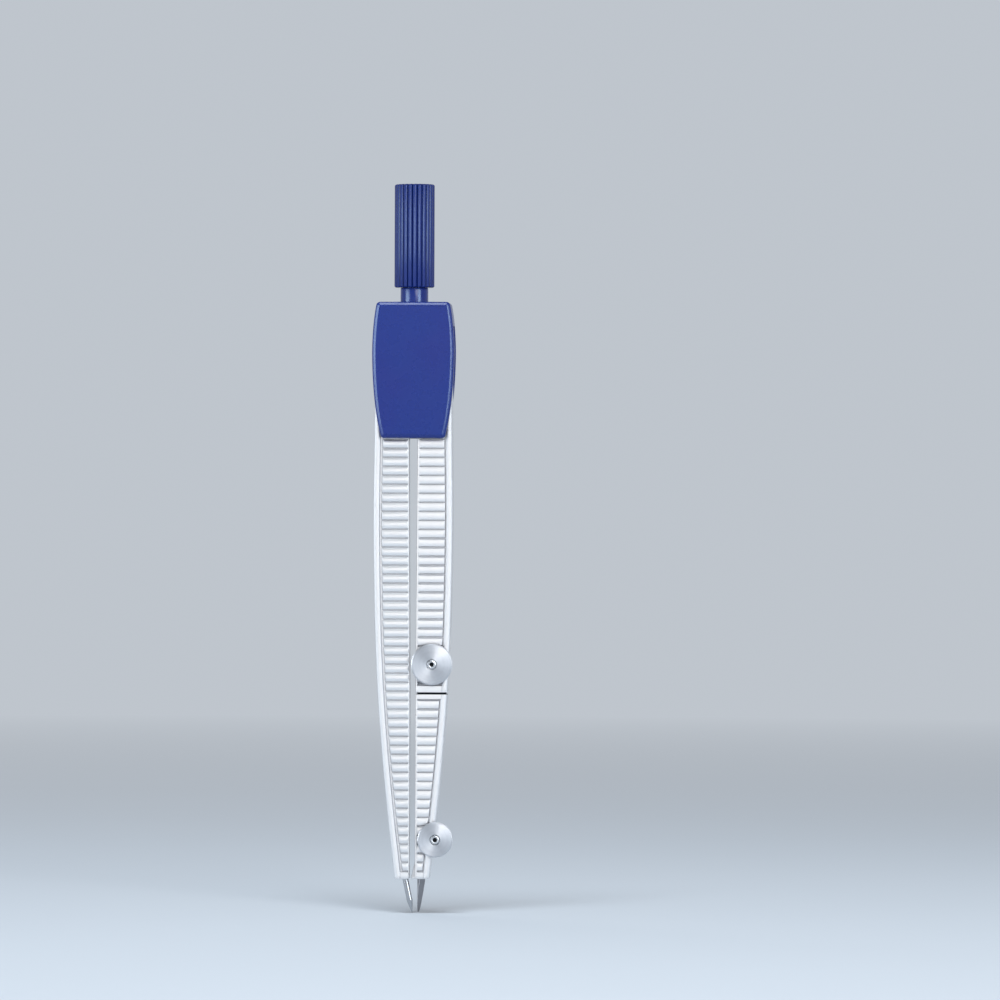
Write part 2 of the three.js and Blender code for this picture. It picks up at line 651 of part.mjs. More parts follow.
/** A screw that goes in from the back, its head just below the surface, with a cross recess. */
function makeCoverScrew(side) {
  const at = { x: side * COVER_SCREW_OFFSET, z: COVER_SCREW_HEIGHT };
  const seat = COVER_SCREW_HEAD_SEAT + FIXED_GAP;
  const tip = RUNNING_GAP - COVER_SCREW_HEAD_SEAT;
  const headTop = HEAD_HALF_DEPTH - COVER_SCREW_HEAD_SUNK;
  const shank = crossCylinder(COVER_SCREW_RADIUS, at, tip, seat + OVERLAP, PLAIN / 2);
  const head = crossCylinder(COVER_SCREW_HEAD_RADIUS, at, seat, headTop);
  const { length, halfWidth, depth } = COVER_SCREW_RECESS;
  const recess = [headTop - depth, HEAD_HALF_DEPTH];
  const slots = [
    block([at.x - length, at.x + length], recess, [at.z - halfWidth, at.z + halfWidth]),
    block([at.x - halfWidth, at.x + halfWidth], recess, [at.z - length, at.z + length]),
  ];
  return cut(join(shank, head), ...slots);
}

// ---------------------------------------------------------------- handle

/** The grip: rounded ridges run its whole length, over a bore that is open at the bottom. */
function makeHandleGrip() {
  const pointsPerFlute = 5;
  const count = FLUTE_COUNT * pointsPerFlute;
  const outline = Array.from({ length: count }, (_, i) => {
    const fromValley = (i % pointsPerFlute) / pointsPerFlute;
    const drawnIn = FLUTE_DEPTH * Math.abs(Math.sin(Math.PI * (fromValley - 0.5))) ** 3;
    const angle = FLUTE_TURN + (2 * Math.PI * (i - pointsPerFlute / 2)) / count;
    return polar(GRIP_RADIUS - drawnIn, angle);
  });
  const height = COMPASS_TOP - GRIP_BOTTOM;
  const shape = new THREE.Shape(outline);
  const geometry = new THREE.ExtrudeGeometry(shape, { depth: height, bevelEnabled: false });
  const ridges = solid(geometry.translate(0, 0, GRIP_BOTTOM));
  const edge = [
    [0, GRIP_BOTTOM],
    [GRIP_RADIUS + OVERLAP, GRIP_BOTTOM],
    [GRIP_RADIUS + OVERLAP, COMPASS_TOP - GRIP_EDGE - OVERLAP],
    [GRIP_RADIUS - GRIP_EDGE, COMPASS_TOP],
    [0, COMPASS_TOP],
  ];
  const chamfered = ridges.intersect(solid(turned(edge, FINE).rotateX(Math.PI / 2)));
  const boreRadius = CORE_RADIUS + FIXED_GAP;
  return cut(chamfered, uprightCylinder(boreRadius, [0, 0], GRIP_BOTTOM - 1, GRIP_BORE_TOP));
}

/** The stem: core inside the grip, smooth neck, and a foot block with two lugs for the bearing plates. */
function makeHandleStem() {
  const ceiling = HEAD_TOP - HEAD_WALL - FIXED_GAP;
  const footHalf = PLATE_INNER_FACE - RUNNING_GAP;
  const lugReach = PLATE_INNER_FACE + PLATE_THICKNESS - FIXED_GAP;
  const { halfWidth, low, high } = FOOT_LUG;
  return join(
    uprightCylinder(CORE_RADIUS, [0, 0], ceiling, GRIP_BORE_TOP - RUNNING_GAP),
    uprightCylinder(NECK_RADIUS, [0, 0], ceiling - OVERLAP, GRIP_BOTTOM - FIXED_GAP, FINE),
    block([-footHalf, footHalf], [-footHalf, footHalf], [FOOT_BOTTOM, ceiling]),
    block([-halfWidth, halfWidth], [-lugReach, lugReach], [low, high]),
  );
}

// ---------------------------------------------------------------- the compass

const head = group(
  part("handle_grip", makeHandleGrip(), BLUE_PLASTIC),
  part("handle_stem", makeHandleStem(), BLUE_PLASTIC),
  part("head_front_shell", makeShell(-1), BLUE_PLASTIC),
  part("head_back_shell", makeShell(1), BLUE_PLASTIC),
  part("front_bearing_plate", makeBearingPlate(-1), STEEL),
  part("back_bearing_plate", makeBearingPlate(1), STEEL),
  part("left_hinge_pin", makeHingePin(-1), STEEL),
  part("right_hinge_pin", makeHingePin(1), STEEL),
  part("left_front_washer", makeFrictionWasher(-1, -1), STEEL),
  part("left_back_washer", makeFrictionWasher(-1, 1), STEEL),
  part("right_front_washer", makeFrictionWasher(1, -1), STEEL),
  part("right_back_washer", makeFrictionWasher(1, 1), STEEL),
  part("left_cover_screw", makeCoverScrew(-1), STEEL),
  part("right_cover_screw", makeCoverScrew(1), STEEL),
);

const needleLeg = group(
  part("left_leg", makeLeftLeg(), CAST_METAL),
  part("needle", makeNeedle(), STEEL),
);

const insertScrew = group(
  part("insert_clamp_knob", makeKnob(INSERT_KNOB, INSERT_SCREW), SPUN_METAL),
  part("insert_clamp_stud", makeStud(INSERT_KNOB, INSERT_SCREW), STEEL),
);

const leadScrew = group(
  part("lead_clamp_knob", makeKnob(LEAD_KNOB, LEAD_SCREW), SPUN_METAL),
  part("lead_clamp_stud", makeStud(LEAD_KNOB, LEAD_SCREW), STEEL),
);

const insert = group(
  part("lead_insert", makeLeadInsert(), CAST_METAL),
  part("lead_clamp_jaw", makeLeadClampJaw(), CAST_METAL),
  part("lead", makeLead(), GRAPHITE),
  leadScrew,
);

const leadLeg = group(part("right_upper_leg", makeRightUpperLeg(), CAST_METAL), insertScrew, insert);

export default group(head, needleLeg, leadLeg);
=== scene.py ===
"""Looks of the drawing compass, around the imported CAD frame.

Shapes are worked out in millimetres in the frame's own axes: +Z up, the front faces -Y and +X is on
the lead leg's side. They are scaled to metres as each piece is finished.
"""

import json
import math

import bmesh
import bpy
from mathutils import Matrix, Vector

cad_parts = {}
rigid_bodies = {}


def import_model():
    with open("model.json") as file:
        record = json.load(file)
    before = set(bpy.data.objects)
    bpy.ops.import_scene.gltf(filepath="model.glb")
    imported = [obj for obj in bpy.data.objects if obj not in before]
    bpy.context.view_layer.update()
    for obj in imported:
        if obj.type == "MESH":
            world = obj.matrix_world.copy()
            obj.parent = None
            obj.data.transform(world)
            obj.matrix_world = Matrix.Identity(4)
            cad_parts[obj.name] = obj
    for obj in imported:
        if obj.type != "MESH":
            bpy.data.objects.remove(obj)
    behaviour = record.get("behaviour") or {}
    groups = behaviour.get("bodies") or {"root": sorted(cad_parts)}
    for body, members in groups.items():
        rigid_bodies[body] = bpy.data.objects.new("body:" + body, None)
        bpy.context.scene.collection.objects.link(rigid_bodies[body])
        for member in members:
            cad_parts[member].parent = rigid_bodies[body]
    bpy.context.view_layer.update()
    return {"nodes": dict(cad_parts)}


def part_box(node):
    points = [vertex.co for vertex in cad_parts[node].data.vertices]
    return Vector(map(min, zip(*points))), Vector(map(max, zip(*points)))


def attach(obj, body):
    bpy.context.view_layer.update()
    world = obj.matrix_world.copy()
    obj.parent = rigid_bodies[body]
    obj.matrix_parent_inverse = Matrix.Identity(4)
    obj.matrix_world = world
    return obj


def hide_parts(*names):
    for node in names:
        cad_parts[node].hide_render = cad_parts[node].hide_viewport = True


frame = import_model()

MM = 0.001


# ---------------------------------------------------------------- places taken from the frame


def box_mm(node):
    """Lowest and highest corners of a CAD node, in millimetres."""
    low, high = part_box(node)
    return low / MM, high / MM


GRIP_LOW, GRIP_HIGH = box_mm("handle_grip")
STEM_LOW, STEM_HIGH = box_mm("handle_stem")
HEAD_LOW, HEAD_HIGH = box_mm("head_front_shell")
LEG_LOW, _ = box_mm("left_leg")
UPPER_LOW, _ = box_mm("right_upper_leg")
_, INSERT_HIGH = box_mm("lead_insert")
JAW_LOW, JAW_HIGH = box_mm("lead_clamp_jaw")
LEAD_LOW, LEAD_HIGH = box_mm("lead")
PIN_LOW, PIN_HIGH = box_mm("right_hinge_pin")

PIVOT_X = (PIN_LOW.x + PIN_HIGH.x) / 2
PIVOT_Z = (PIN_LOW.z + PIN_HIGH.z) / 2
PIN_RADIUS = (PIN_HIGH.x - PIN_LOW.x) / 2

# ---------------------------------------------------------------- shared measures

RUNNING_GAP = 0.15
FIXED_GAP = 0.06
OVERLAP = 0.2
WIDE = 16

# legs: height and distance of the outer edge from the middle
OUTER_EDGE = [
    (5.9, 2.92),
    (16, 4.08),
    (26, 5.08),
    (36, 5.85),
    (46, 6.35),
    (56, 6.62),
    (68, 6.75),
    (80, 6.62),
    (97, 6.5),
]
INNER_EDGE_TOP = 0.74
INNER_EDGE_BOTTOM = 0.49
INNER_EDGE_BEND = 38
HALF_DEPTH_TOP = 2.55
HALF_DEPTH_BOTTOM = 1.9
TAPER_BOTTOM = 5.9
TAPER_TOP = 80

# rails and ribs of both faces, as depths below the highest line of the rail
OUTER_RAIL = 1.12
LEFT_INNER_RAIL = 0.14
RIGHT_INNER_RAIL = 0.34
# (distance in from the outer edge, depth) over the rounded outer rail
RAIL_SECTION = [
    (0, 0.34),
    (0.04, 0.25),
    (0.1, 0.19),
    (0.2, 0.12),
    (0.33, 0.055),
    (0.48, 0.012),
    (0.62, 0),
    (0.78, 0.012),
    (0.92, 0.05),
    (1, 0.1),
]
# the same for the narrow inner rail: depths at its edge towards the ribs, its crown and its side
LOW_RAIL_DEPTHS = (0.07, 0.06, 0.17)
HIGH_RAIL_SIDE_DEPTH = 0.27
RIB_CREST = 0.1
RIB_FOOT = 0.46
RIGHT_CHANNEL_DEPTH = 0.3
RIB_PITCH = 1.5256
# radius of a rib's back, seen from the side
LEFT_RIB_RADIUS = 1.5
RIGHT_RIB_RADIUS = 2.3
# (distance from the middle of a groove, depth) up to where the rib's back begins
GROOVE_SECTION = [(0, RIB_FOOT), (0.045, RIB_FOOT), (0.08, 0.36), (0.12, 0.27)]
RIB_STEPS = 7
LEFT_CHANNEL = 0.26
RIGHT_CHANNEL = 0.1
RIB_OUTER_END = 0.36
RIB_INNER_END = 0.3
# shares of the way over a rib's rounded outer end, its middle and, with rises, its inner end
OUTER_END_SHARES = (0, 0.06, 0.2, 0.42, 0.7, 1)
MIDDLE_SHARES = (0.33, 0.67, 1)
INNER_END_SHARES = ((0.62, 0.86), (0.3, 0.5), (0.1, 0.17), (0, 0))
LEFT_INNER_DEPTH = 0.22
RIGHT_INNER_DEPTH = 0.12
LOWEST_GROOVE = 7.21
PANEL_TOP = 88
FOOT_MARGIN = 1.18
BAND_ABOVE_SPLIT = 1.15
BAND_BELOW_SPLIT = 0.84
END_GROOVE = 0.13
PANEL_FADE = 0.06
# height over which a leg's end is rounded, and the least step between levels
END_ROUNDING = 0.12
END_STEP = 0.035
LEAST_STEP = 0.015
SPLIT_EDGE = 0.04

# toothed tops of the legs
TOOTH_MODULE = 0.5
TOOTH_COUNT = round(2 * PIVOT_X / TOOTH_MODULE)
PRESSURE_ANGLE = math.radians(20)
TOOTH_BACKLASH = 0.12
TIP_RADIUS = PIVOT_X + 0.8 * TOOTH_MODULE
ROOT_RADIUS = PIVOT_X - 1.2 * TOOTH_MODULE
LEG_TOP_RADIUS = 3.3
WASHER_SEAT_RADIUS = 2.35
WASHER_SEAT_DEPTH = 0.45

# lead clamp
LEAD_RADIUS = 1
LEAD_BORE_RADIUS = 1.07
LEAD_BORE_TOP = 22
# the flat that sharpens the lead, turned from +X towards the front
LEAD_FLAT_TURN = math.radians(25)
LEAD_FLAT_SLOPE = 0.147
LEAD_EDGE_THICKNESS = 0.06
JAW_PARTING = 0.1
EAR_RADIUS = 1.75
LIP_TOP = 9.3
LIP_FRONT = 0.65
STUD_HOLE_RADIUS = 0.88

# needle
NEEDLE_RADIUS = 0.5
NEEDLE_LENGTH = 13.2
NEEDLE_POINT = 2.2
NEEDLE_TILT = math.radians(11.6)

# head
HEAD_TOP_HALF = 6.2
HEAD_WIDEST_HALF = 6.95
HEAD_WIDEST = 95.2
HEAD_BOTTOM_HALF = 5.45
HEAD_CORNER = 0.7
HEAD_LEAN_AT_CORNER = 0.1
SIDE_CONTROL_HALF = 6.9
LOWER_SIDE_CONTROL = 86.9
UPPER_SIDE_CONTROL = 99.8
# (inset, depth) from a shell's side to its face: rounded, then a flat chamfer, then flat face
HEAD_EDGE_SECTION = [
    (0, 0.6),
    (0.018, 0.49),
    (0.055, 0.39),
    (0.12, 0.3),
    (0.21, 0.228),
    (0.41, 0.108),
    (0.49, 0.064),
    (0.55, 0.035),
    (0.61, 0.012),
    (0.65, 0.003),
    (0.68, 0),
    (0.72, 0),
]
HEAD_WALL = 1.25
SIDE_OPENING_TOP = 99.7
LEG_ROOM_HALF_DEPTH = 2.8
UPPER_ROOM_HALF = 5.25
PLATE_FAR_FACE = 3.2
PLATE_END_RADIUS = 2.6
PLATE_TOP = 102.15
PLATE_WEB_HALF = 2
PLATE_TAB_HALF = 2.4
COVER_BOSS_RADIUS = 1
COVER_SCREW_SEAT = 3.45

# handle
FLUTE_COUNT = 24
FLUTE_DEPTH = 0.31
RIDGE_RADIUS = 0.45
# from +X to the nearest ridge
FLUTE_TURN = math.radians(3.3)
GRIP_EDGE = 0.22
GRIP_BORE_TOP = 119
CORE_RADIUS = 1.8
NECK_RADIUS = 2.35


# ---------------------------------------------------------------- solids


def new_object(name, points, faces):
    """A closed mesh, in millimetres until it is finished."""
    mesh = bpy.data.meshes.new(name)
    mesh.from_pydata([tuple(p) for p in points], [], faces)
    fair = bmesh.new()
    fair.from_mesh(mesh)
    bmesh.ops.recalc_face_normals(fair, faces=fair.faces)
    fair.to_mesh(mesh)
    fair.free()
    made = bpy.data.objects.new(name, mesh)
    bpy.context.scene.collection.objects.link(made)
    return made


def combine(base, operation, *tools):
    """base joined with, cut by or kept inside closed tools, which are used up."""
    for tool in tools:
        step = base.modifiers.new(operation, "BOOLEAN")
        step.operation = operation
        step.solver = "MANIFOLD"
        step.object = tool
    graph = bpy.context.evaluated_depsgraph_get()
    mesh = bpy.data.meshes.new_from_object(base.evaluated_get(graph))
    if len(mesh.polygons) == 0:
        raise RuntimeError(f"{base.name} is empty after {operation}")
    base.modifiers.clear()
    base.data = mesh
    for tool in tools:
        bpy.data.objects.remove(tool)
    return base


def loft(name, rings):
    """A solid through rings of equally many points, closed at both ends."""
    count = len(rings[0])
    points = [p for ring in rings for p in ring]
    faces = [tuple(range(count)), tuple(range(len(points) - count, len(points)))]
    for level in range(len(rings) - 1):
        start = level * count
        for i in range(count):
            j = (i + 1) % count
            faces.append((start + i, start + j, start + count + j, start + count + i))
    return new_object(name, points, faces)


def along_y(x, z):
    return lambda r, a, h: (x + r * math.cos(a), h, z + r * math.sin(a))


def along_z(x, y):
    return lambda r, a, h: (x + r * math.cos(a), y + r * math.sin(a), h)


def lathe(name, profile, place, segments=96, ridges=None):
    """A profile of (radius, height) turned about an axis, from the axis back to the axis.

    ridges(level, angle) is how far the surface is drawn in there.
    """
    points, faces, rows = [], [], []
    for level, (radius, height) in enumerate(profile):
        if radius == 0:
            rows.append([len(points)] * segments)
            points.append(place(0, 0, height))
            continue
        rows.append(list(range(len(points), len(points) + segments)))
        for i in range(segments):
            angle = 2 * math.pi * i / segments
            drawn_in = ridges(level, angle) if ridges else 0
            points.append(place(radius - drawn_in, angle, height))
    for lower, upper in zip(rows, rows[1:]):
        for i in range(segments):
            j = (i + 1) % segments
            corners = (lower[i], lower[j], upper[j], upper[i])
            faces.append(tuple(dict.fromkeys(corners)))
    return new_object(name, points, [f for f in faces if len(f) > 2])


def cylinder(radius, low, high, place, segments=64):
    return lathe("tool", [(0, low), (radius, low), (radius, high), (0, high)], place, segments)


def plate(name, outline, near, far, edge=0.0):
    """An outline of (x, z) points as a plate between two depths, its outer edges broken by edge."""
    if edge == 0:
        return loft(name, [[(x, y, z) for x, z in outline] for y in (near, far)])
    depths = [(near, edge), (near + edge, 0), (far - edge, 0), (far, edge)]
    return loft(name, [[(x, y, z) for x, z in inset(outline, amount)] for y, amount in depths])


def inset(outline, amount):
    """The outline moved inwards, each corner along its mitre."""
    count = len(outline)
    area = sum(
        outline[i - 1][0] * outline[i][1] - outline[i][0] * outline[i - 1][1] for i in range(count)
    )
    turn = math.copysign(1, area)
    moved = []
    for i in range(count):
        before, here, after = (Vector(outline[k % count]) for k in (i - 1, i, i + 1))
        arriving = (here - before).normalized()
        leaving = (after - here).normalized()
        mitre = Vector((-arriving.y - leaving.y, arriving.x + leaving.x)) * turn
        normal = Vector((-arriving.y, arriving.x)) * turn
        mitre.normalize()
        moved.append(tuple(here + mitre * (amount / max(mitre.dot(normal), 0.35))))
    return moved


def block(xs, ys, zs):
    """A plain box that only cuts or limits other solids."""
    outline = [(xs[0], zs[0]), (xs[1], zs[0]), (xs[1], zs[1]), (xs[0], zs[1])]
    return plate("tool", outline, *ys)


def smooth_share(low, high, value):
    share = min(max((value - low) / (high - low), 0), 1)
    return share * share * (3 - 2 * share)


# ---------------------------------------------------------------- materials


class Material:
    """Node tree of one material, with the Principled shader's settings given by name."""

    def __init__(self, name, **settings):
        self.made = bpy.data.materials.new(name)
        self.made.use_nodes = True
        self.tree = self.made.node_tree
        self.shader = next(n for n in self.tree.nodes if n.type == "BSDF_PRINCIPLED")
        self.place = self.add("ShaderNodeTexCoord").outputs["Object"]
        for key, value in settings.items():
            self.shader.inputs[key.replace("_", " ")].default_value = value

    def add(self, kind, inputs=None, **settings):
        node = self.tree.nodes.new(kind)
        for key, value in settings.items():
            setattr(node, key, value)
        for key, value in (inputs or {}).items():
            self.put(node.inputs[key], value)
        return node

    def put(self, socket, value):
        if isinstance(value, bpy.types.NodeSocket):
            self.tree.links.new(value, socket)
        else:
            socket.default_value = value

    def set(self, name, value):
        self.put(self.shader.inputs[name], value)

    def stretched(self, factors):
        """Object coordinates, scaled apart on each axis."""
        return self.add("ShaderNodeMapping", {"Vector": self.place, "Scale": factors}).outputs[0]

    def noise(self, scale, detail=3.0, roughness=0.5, vector=None):
        inputs = {
            "Vector": vector or self.place,
            "Scale": scale,
            "Detail": detail,
            "Roughness": roughness,
        }
        return self.add("ShaderNodeTexNoise", inputs).outputs["Fac"]

    def ramp(self, value, low, high, low_to, high_to):
        """value mapped from one range to another, held at its ends."""
        inputs = {
            "Value": value,
            "From Min": low,
            "From Max": high,
            "To Min": low_to,
            "To Max": high_to,
        }
        return self.add("ShaderNodeMapRange", inputs).outputs["Result"]

    def math(self, operation, *values):
        node = self.add("ShaderNodeMath", operation=operation)
        for socket, value in zip(node.inputs, values):
            self.put(socket, value)
        return node.outputs[0]

    def blend(self, share, first, second):
        node = self.add("ShaderNodeMix", data_type="RGBA")
        sockets = [s for s in node.inputs if s.enabled]
        for socket, value in zip(sockets, (share, first, second)):
            self.put(socket, value)
        return next(s for s in node.outputs if s.enabled)

    def painted_shade_mask(self, reach):
        """Mask for painted shade, from an occlusion node: 0 deep in a groove or a gap, 1 on an open
        face.
        """
        open_share = self.add("ShaderNodeAmbientOcclusion", {"Distance": reach}).outputs["AO"]
        return self.ramp(open_share, 0.3, 0.85, 0, 1)

    def bump(self, height, distance, strength=1.0, under=None):
        inputs = {"Height": height, "Distance": distance, "Strength": strength}
        if under is not None:
            inputs["Normal"] = under
        return self.add("ShaderNodeBump", inputs).outputs["Normal"]


def rgb(red, green, blue):
    return (red, green, blue, 1.0)


def make_blue_plastic(name, roughness, grain, fluted=False):
    """Satin moulded plastic: faint grain, soft patches of gloss, and painted shade that darkens the blue
    between any flutes.
    """
    m = Material(name, Specular_IOR_Level=0.5, IOR=1.49)
    drift = m.ramp(m.noise(90, 2), 0.35, 0.65, 0, 1)
    blue = m.blend(drift, rgb(0.0025, 0.017, 0.132), rgb(0.005, 0.0145, 0.127))
    if fluted:
        # painted shade: the occlusion mask darkens the valleys between the flutes towards a deep blue
        blue = m.blend(m.painted_shade_mask(0.0006), rgb(0.0005, 0.005, 0.05), blue)
    m.set("Base Color", blue)
    patches = m.noise(420, 4, 0.6)
    m.set("Roughness", m.ramp(patches, 0.3, 0.7, roughness - 0.04, roughness + 0.05))
    m.set("Normal", m.bump(m.noise(5200, 2), grain))
    return m.made


def make_cast_metal(name, painted_gap_shade=None):
    """Satin plated casting: soft grain, rubbing along the leg, and painted shade that darkens the
    grooves and gaps.

    The last argument, if given, is the two heights in millimetres between which painted shade makes the
    metal nearly black.
    """
    m = Material(name, Metallic=1.0)
    rubbing = m.noise(1.0, 4, 0.6, m.stretched((5200, 5200, 340)))
    cloud = m.noise(230, 4, 0.55)
    tone = m.blend(cloud, rgb(0.87, 0.865, 0.87), rgb(0.93, 0.923, 0.925))
    # painted shade: the occlusion mask darkens the grooves, the gaps and the legs' facing inner sides
    tone = m.blend(m.painted_shade_mask(0.0009), rgb(0.56, 0.56, 0.58), tone)
    # painted shade: between two heights the metal is made nearly black, standing in for the shadow in
    # the split above the lead insert
    if painted_gap_shade:
        low, high = (height * MM for height in painted_gap_shade)
        height = m.add("ShaderNodeSeparateXYZ", {"Vector": m.place}).outputs["Z"]
        begun = m.ramp(height, low, low + 0.00003, 0, 1)
        ended = m.ramp(height, high, high + 0.0002, 1, 0)
        tone = m.blend(m.math("MULTIPLY", begun, ended), tone, rgb(0.025, 0.027, 0.032))
    m.set("Base Color", tone)
    both = m.math("ADD", m.math("MULTIPLY", rubbing, 0.5), m.math("MULTIPLY", cloud, 0.5))
    m.set("Roughness", m.ramp(both, 0.35, 0.65, 0.38, 0.5))
    grain = m.bump(m.noise(7000, 3, 0.6), 0.0000035)
    m.set("Normal", m.bump(rubbing, 0.000003, 0.5, grain))
    return m.made


def make_spun_metal(name, roughness=0.46):
    """Face-turned metal: rings about the object's own Y axis stretch each highlight into rays."""
    # the quarter turn lays the rays along the radii, across the rings
    m = Material(name, Metallic=1.0, Anisotropic=0.75, Anisotropic_Rotation=0.25)
    apart = m.add("ShaderNodeSeparateXYZ", {"Vector": m.place})
    across = m.math("POWER", apart.outputs["X"], 2.0)
    up = m.math("POWER", apart.outputs["Z"], 2.0)
    radius = m.math("SQRT", m.math("ADD", across, up))
    settings = ({"W": radius, "Scale": scale, "Detail": 2.0} for scale in (15000.0, 2600.0))
    fine, wide = (m.add("ShaderNodeTexNoise", s, noise_dimensions="1D") for s in settings)
    rings, wide_rings = fine.outputs["Fac"], wide.outputs["Fac"]
    m.set("Base Color", m.blend(wide_rings, rgb(0.6, 0.61, 0.64), rgb(0.71, 0.72, 0.75)))
    m.set("Roughness", m.ramp(wide_rings, 0.3, 0.7, roughness - 0.03, roughness + 0.05))
    m.set("Tangent", m.add("ShaderNodeTangent", direction_type="RADIAL", axis="Y").outputs[0])
    grain = m.bump(m.noise(5000, 3), 0.000002)
    m.set("Normal", m.bump(rings, 0.000004, 0.6, grain))
    return m.made


def make_steel(name, tone, roughness, lines):
    """Drawn or ground steel, with fine lines that run the way that the scale stretches them."""
    m = Material(name, Metallic=1.0)
    drawn = m.noise(1.0, 4, 0.6, m.stretched(lines))
    cloud = m.noise(500, 3)
    dark, light = (rgb(*(shade * factor for shade in tone)) for factor in (0.86, 1.08))
    m.set("Base Color", m.blend(cloud, dark, light))
    m.set("Roughness", m.ramp(drawn, 0.3, 0.7, roughness - 0.05, roughness + 0.08))
    m.set("Normal", m.bump(drawn, 0.000003, 0.6))
    return m.made


def make_graphite(name):
    """Drawn graphite lead: dark, faintly metallic, streaked along its length, with sanded specks."""
    m = Material(name, Metallic=0.7)
    streaks = m.noise(1.0, 4, 0.65, m.stretched((6500, 6500, 420)))
    specks = m.noise(9000, 2)
    m.set("Base Color", m.blend(streaks, rgb(0.2, 0.202, 0.222), rgb(0.36, 0.36, 0.382)))
    m.set("Roughness", m.ramp(specks, 0.3, 0.7, 0.32, 0.46))
    m.set("Normal", m.bump(streaks, 0.000006, 0.7, m.bump(specks, 0.000004)))
    return m.made


def make_paper(name, shade, far_shade):
    """Matt studio paper for the floor, which fades with distance into the lit studio behind it."""
    m = Material(name, Roughness=0.9, Specular_IOR_Level=0.1)
    m.set("Base Color", m.blend(m.noise(9, 3), rgb(*shade), rgb(*(v * 1.02 for v in shade))))
    away = m.add("ShaderNodeVectorMath", {0: m.place}, operation="LENGTH").outputs["Value"]
    glow = m.add("ShaderNodeEmission", {"Color": rgb(*far_shade), "Strength": 1.0})
    both = m.add("ShaderNodeMixShader", {0: m.ramp(away, *PAPER_FADE, 0, 1)})
    m.tree.links.new(m.shader.outputs[0], both.inputs[1])
    m.tree.links.new(glow.outputs[0], both.inputs[2])
    end = next(n for n in m.tree.nodes if n.type == "OUTPUT_MATERIAL")
    m.tree.links.new(both.outputs[0], end.inputs["Surface"])
    return m.made


STUDIO_SHADE = (0.52, 0.56, 0.61)
PAPER_FADE = (0.25, 1.1)

BLUE_SHELL = make_blue_plastic("moulded_blue_shell", 0.27, 0.000002)
BLUE_GRIP = make_blue_plastic("moulded_blue_grip", 0.22, 0.000001, fluted=True)
BLUE_STEM = make_blue_plastic("moulded_blue_stem", 0.22, 0.000001)
CAST_METAL = make_cast_metal("plated_casting")
SPUN_METAL = make_spun_metal("spun_metal")
NEEDLE_STEEL = make_steel("ground_needle_steel", (0.5, 0.51, 0.53), 0.14, (9000, 9000, 300))
PIN_STEEL = make_steel("drawn_pin_steel", (0.55, 0.56, 0.58), 0.28, (9000, 500, 9000))
SHEET_STEEL = make_steel("rolled_sheet_steel", (0.5, 0.51, 0.53), 0.34, (500, 4000, 6000))
STUD_STEEL = make_steel("turned_stud_steel", (0.7, 0.71, 0.73), 0.22, (7000, 7000, 7000))
# painted shade: a near-black steel that stands in for the shadow inside the studs' drilled centres
HOLE_SHADE_STEEL = make_steel("drilled_steel_with_painted_shade", (0.05, 0.052, 0.058), 0.4, (6000, 900, 6000))
GRAPHITE = make_graphite("graphite_lead")


def merge_flat_faces(made):
    """Joins neighbouring faces in one plane, and the slivers that booleans leave between them."""
    fair = bmesh.new()
    fair.from_mesh(made.data)
    bmesh.ops.dissolve_limit(fair, angle_limit=math.radians(0.3), verts=fair.verts, edges=fair.edges)
    fair.to_mesh(made.data)
    fair.free()


def finish_piece(made, name, material, body, nodes, sharp=32):
    """Scales a piece to metres and hands it to the frame in place of its CAD nodes."""
    made.name = name
    made.data.name = name
    made.data.transform(Matrix.Scale(MM, 4))
    made.location = made.location * MM
    made.data.materials.clear()
    made.data.materials.append(material)
    made.data.shade_smooth()
    made.data.set_sharp_from_angle(angle=math.radians(sharp))
    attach(made, body)
    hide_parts(*nodes)
    return made


# ---------------------------------------------------------------- leg outline


def outer_edge(z):
    """Smooth curve through OUTER_EDGE."""
    last = len(OUTER_EDGE) - 1
    i = max(k for k in range(last) if OUTER_EDGE[k][0] <= z or k == 0)

    def slope(k):
        (z0, x0), (z1, x1) = OUTER_EDGE[max(k - 1, 0)], OUTER_EDGE[min(k + 1, last)]
        return (x1 - x0) / (z1 - z0)

    (z0, x0), (z1, x1) = OUTER_EDGE[i], OUTER_EDGE[i + 1]
    span = z1 - z0
    t = (z - z0) / span
    from_points = x0 * (2 * t**3 - 3 * t**2 + 1) + x1 * (3 * t**2 - 2 * t**3)
    from_slopes = slope(i) * (t**3 - 2 * t**2 + t) + slope(i + 1) * (t**3 - t**2)
    return from_points + from_slopes * span


def inner_edge(z):
    share = min(max((z - INNER_EDGE_BEND) / (TAPER_TOP - INNER_EDGE_BEND), 0), 1)
    return INNER_EDGE_BOTTOM + (INNER_EDGE_TOP - INNER_EDGE_BOTTOM) * share


def half_depth(z):
    share = min(max((z - TAPER_BOTTOM) / (TAPER_TOP - TAPER_BOTTOM), 0), 1)
    return HALF_DEPTH_BOTTOM + (HALF_DEPTH_TOP - HALF_DEPTH_BOTTOM) * share


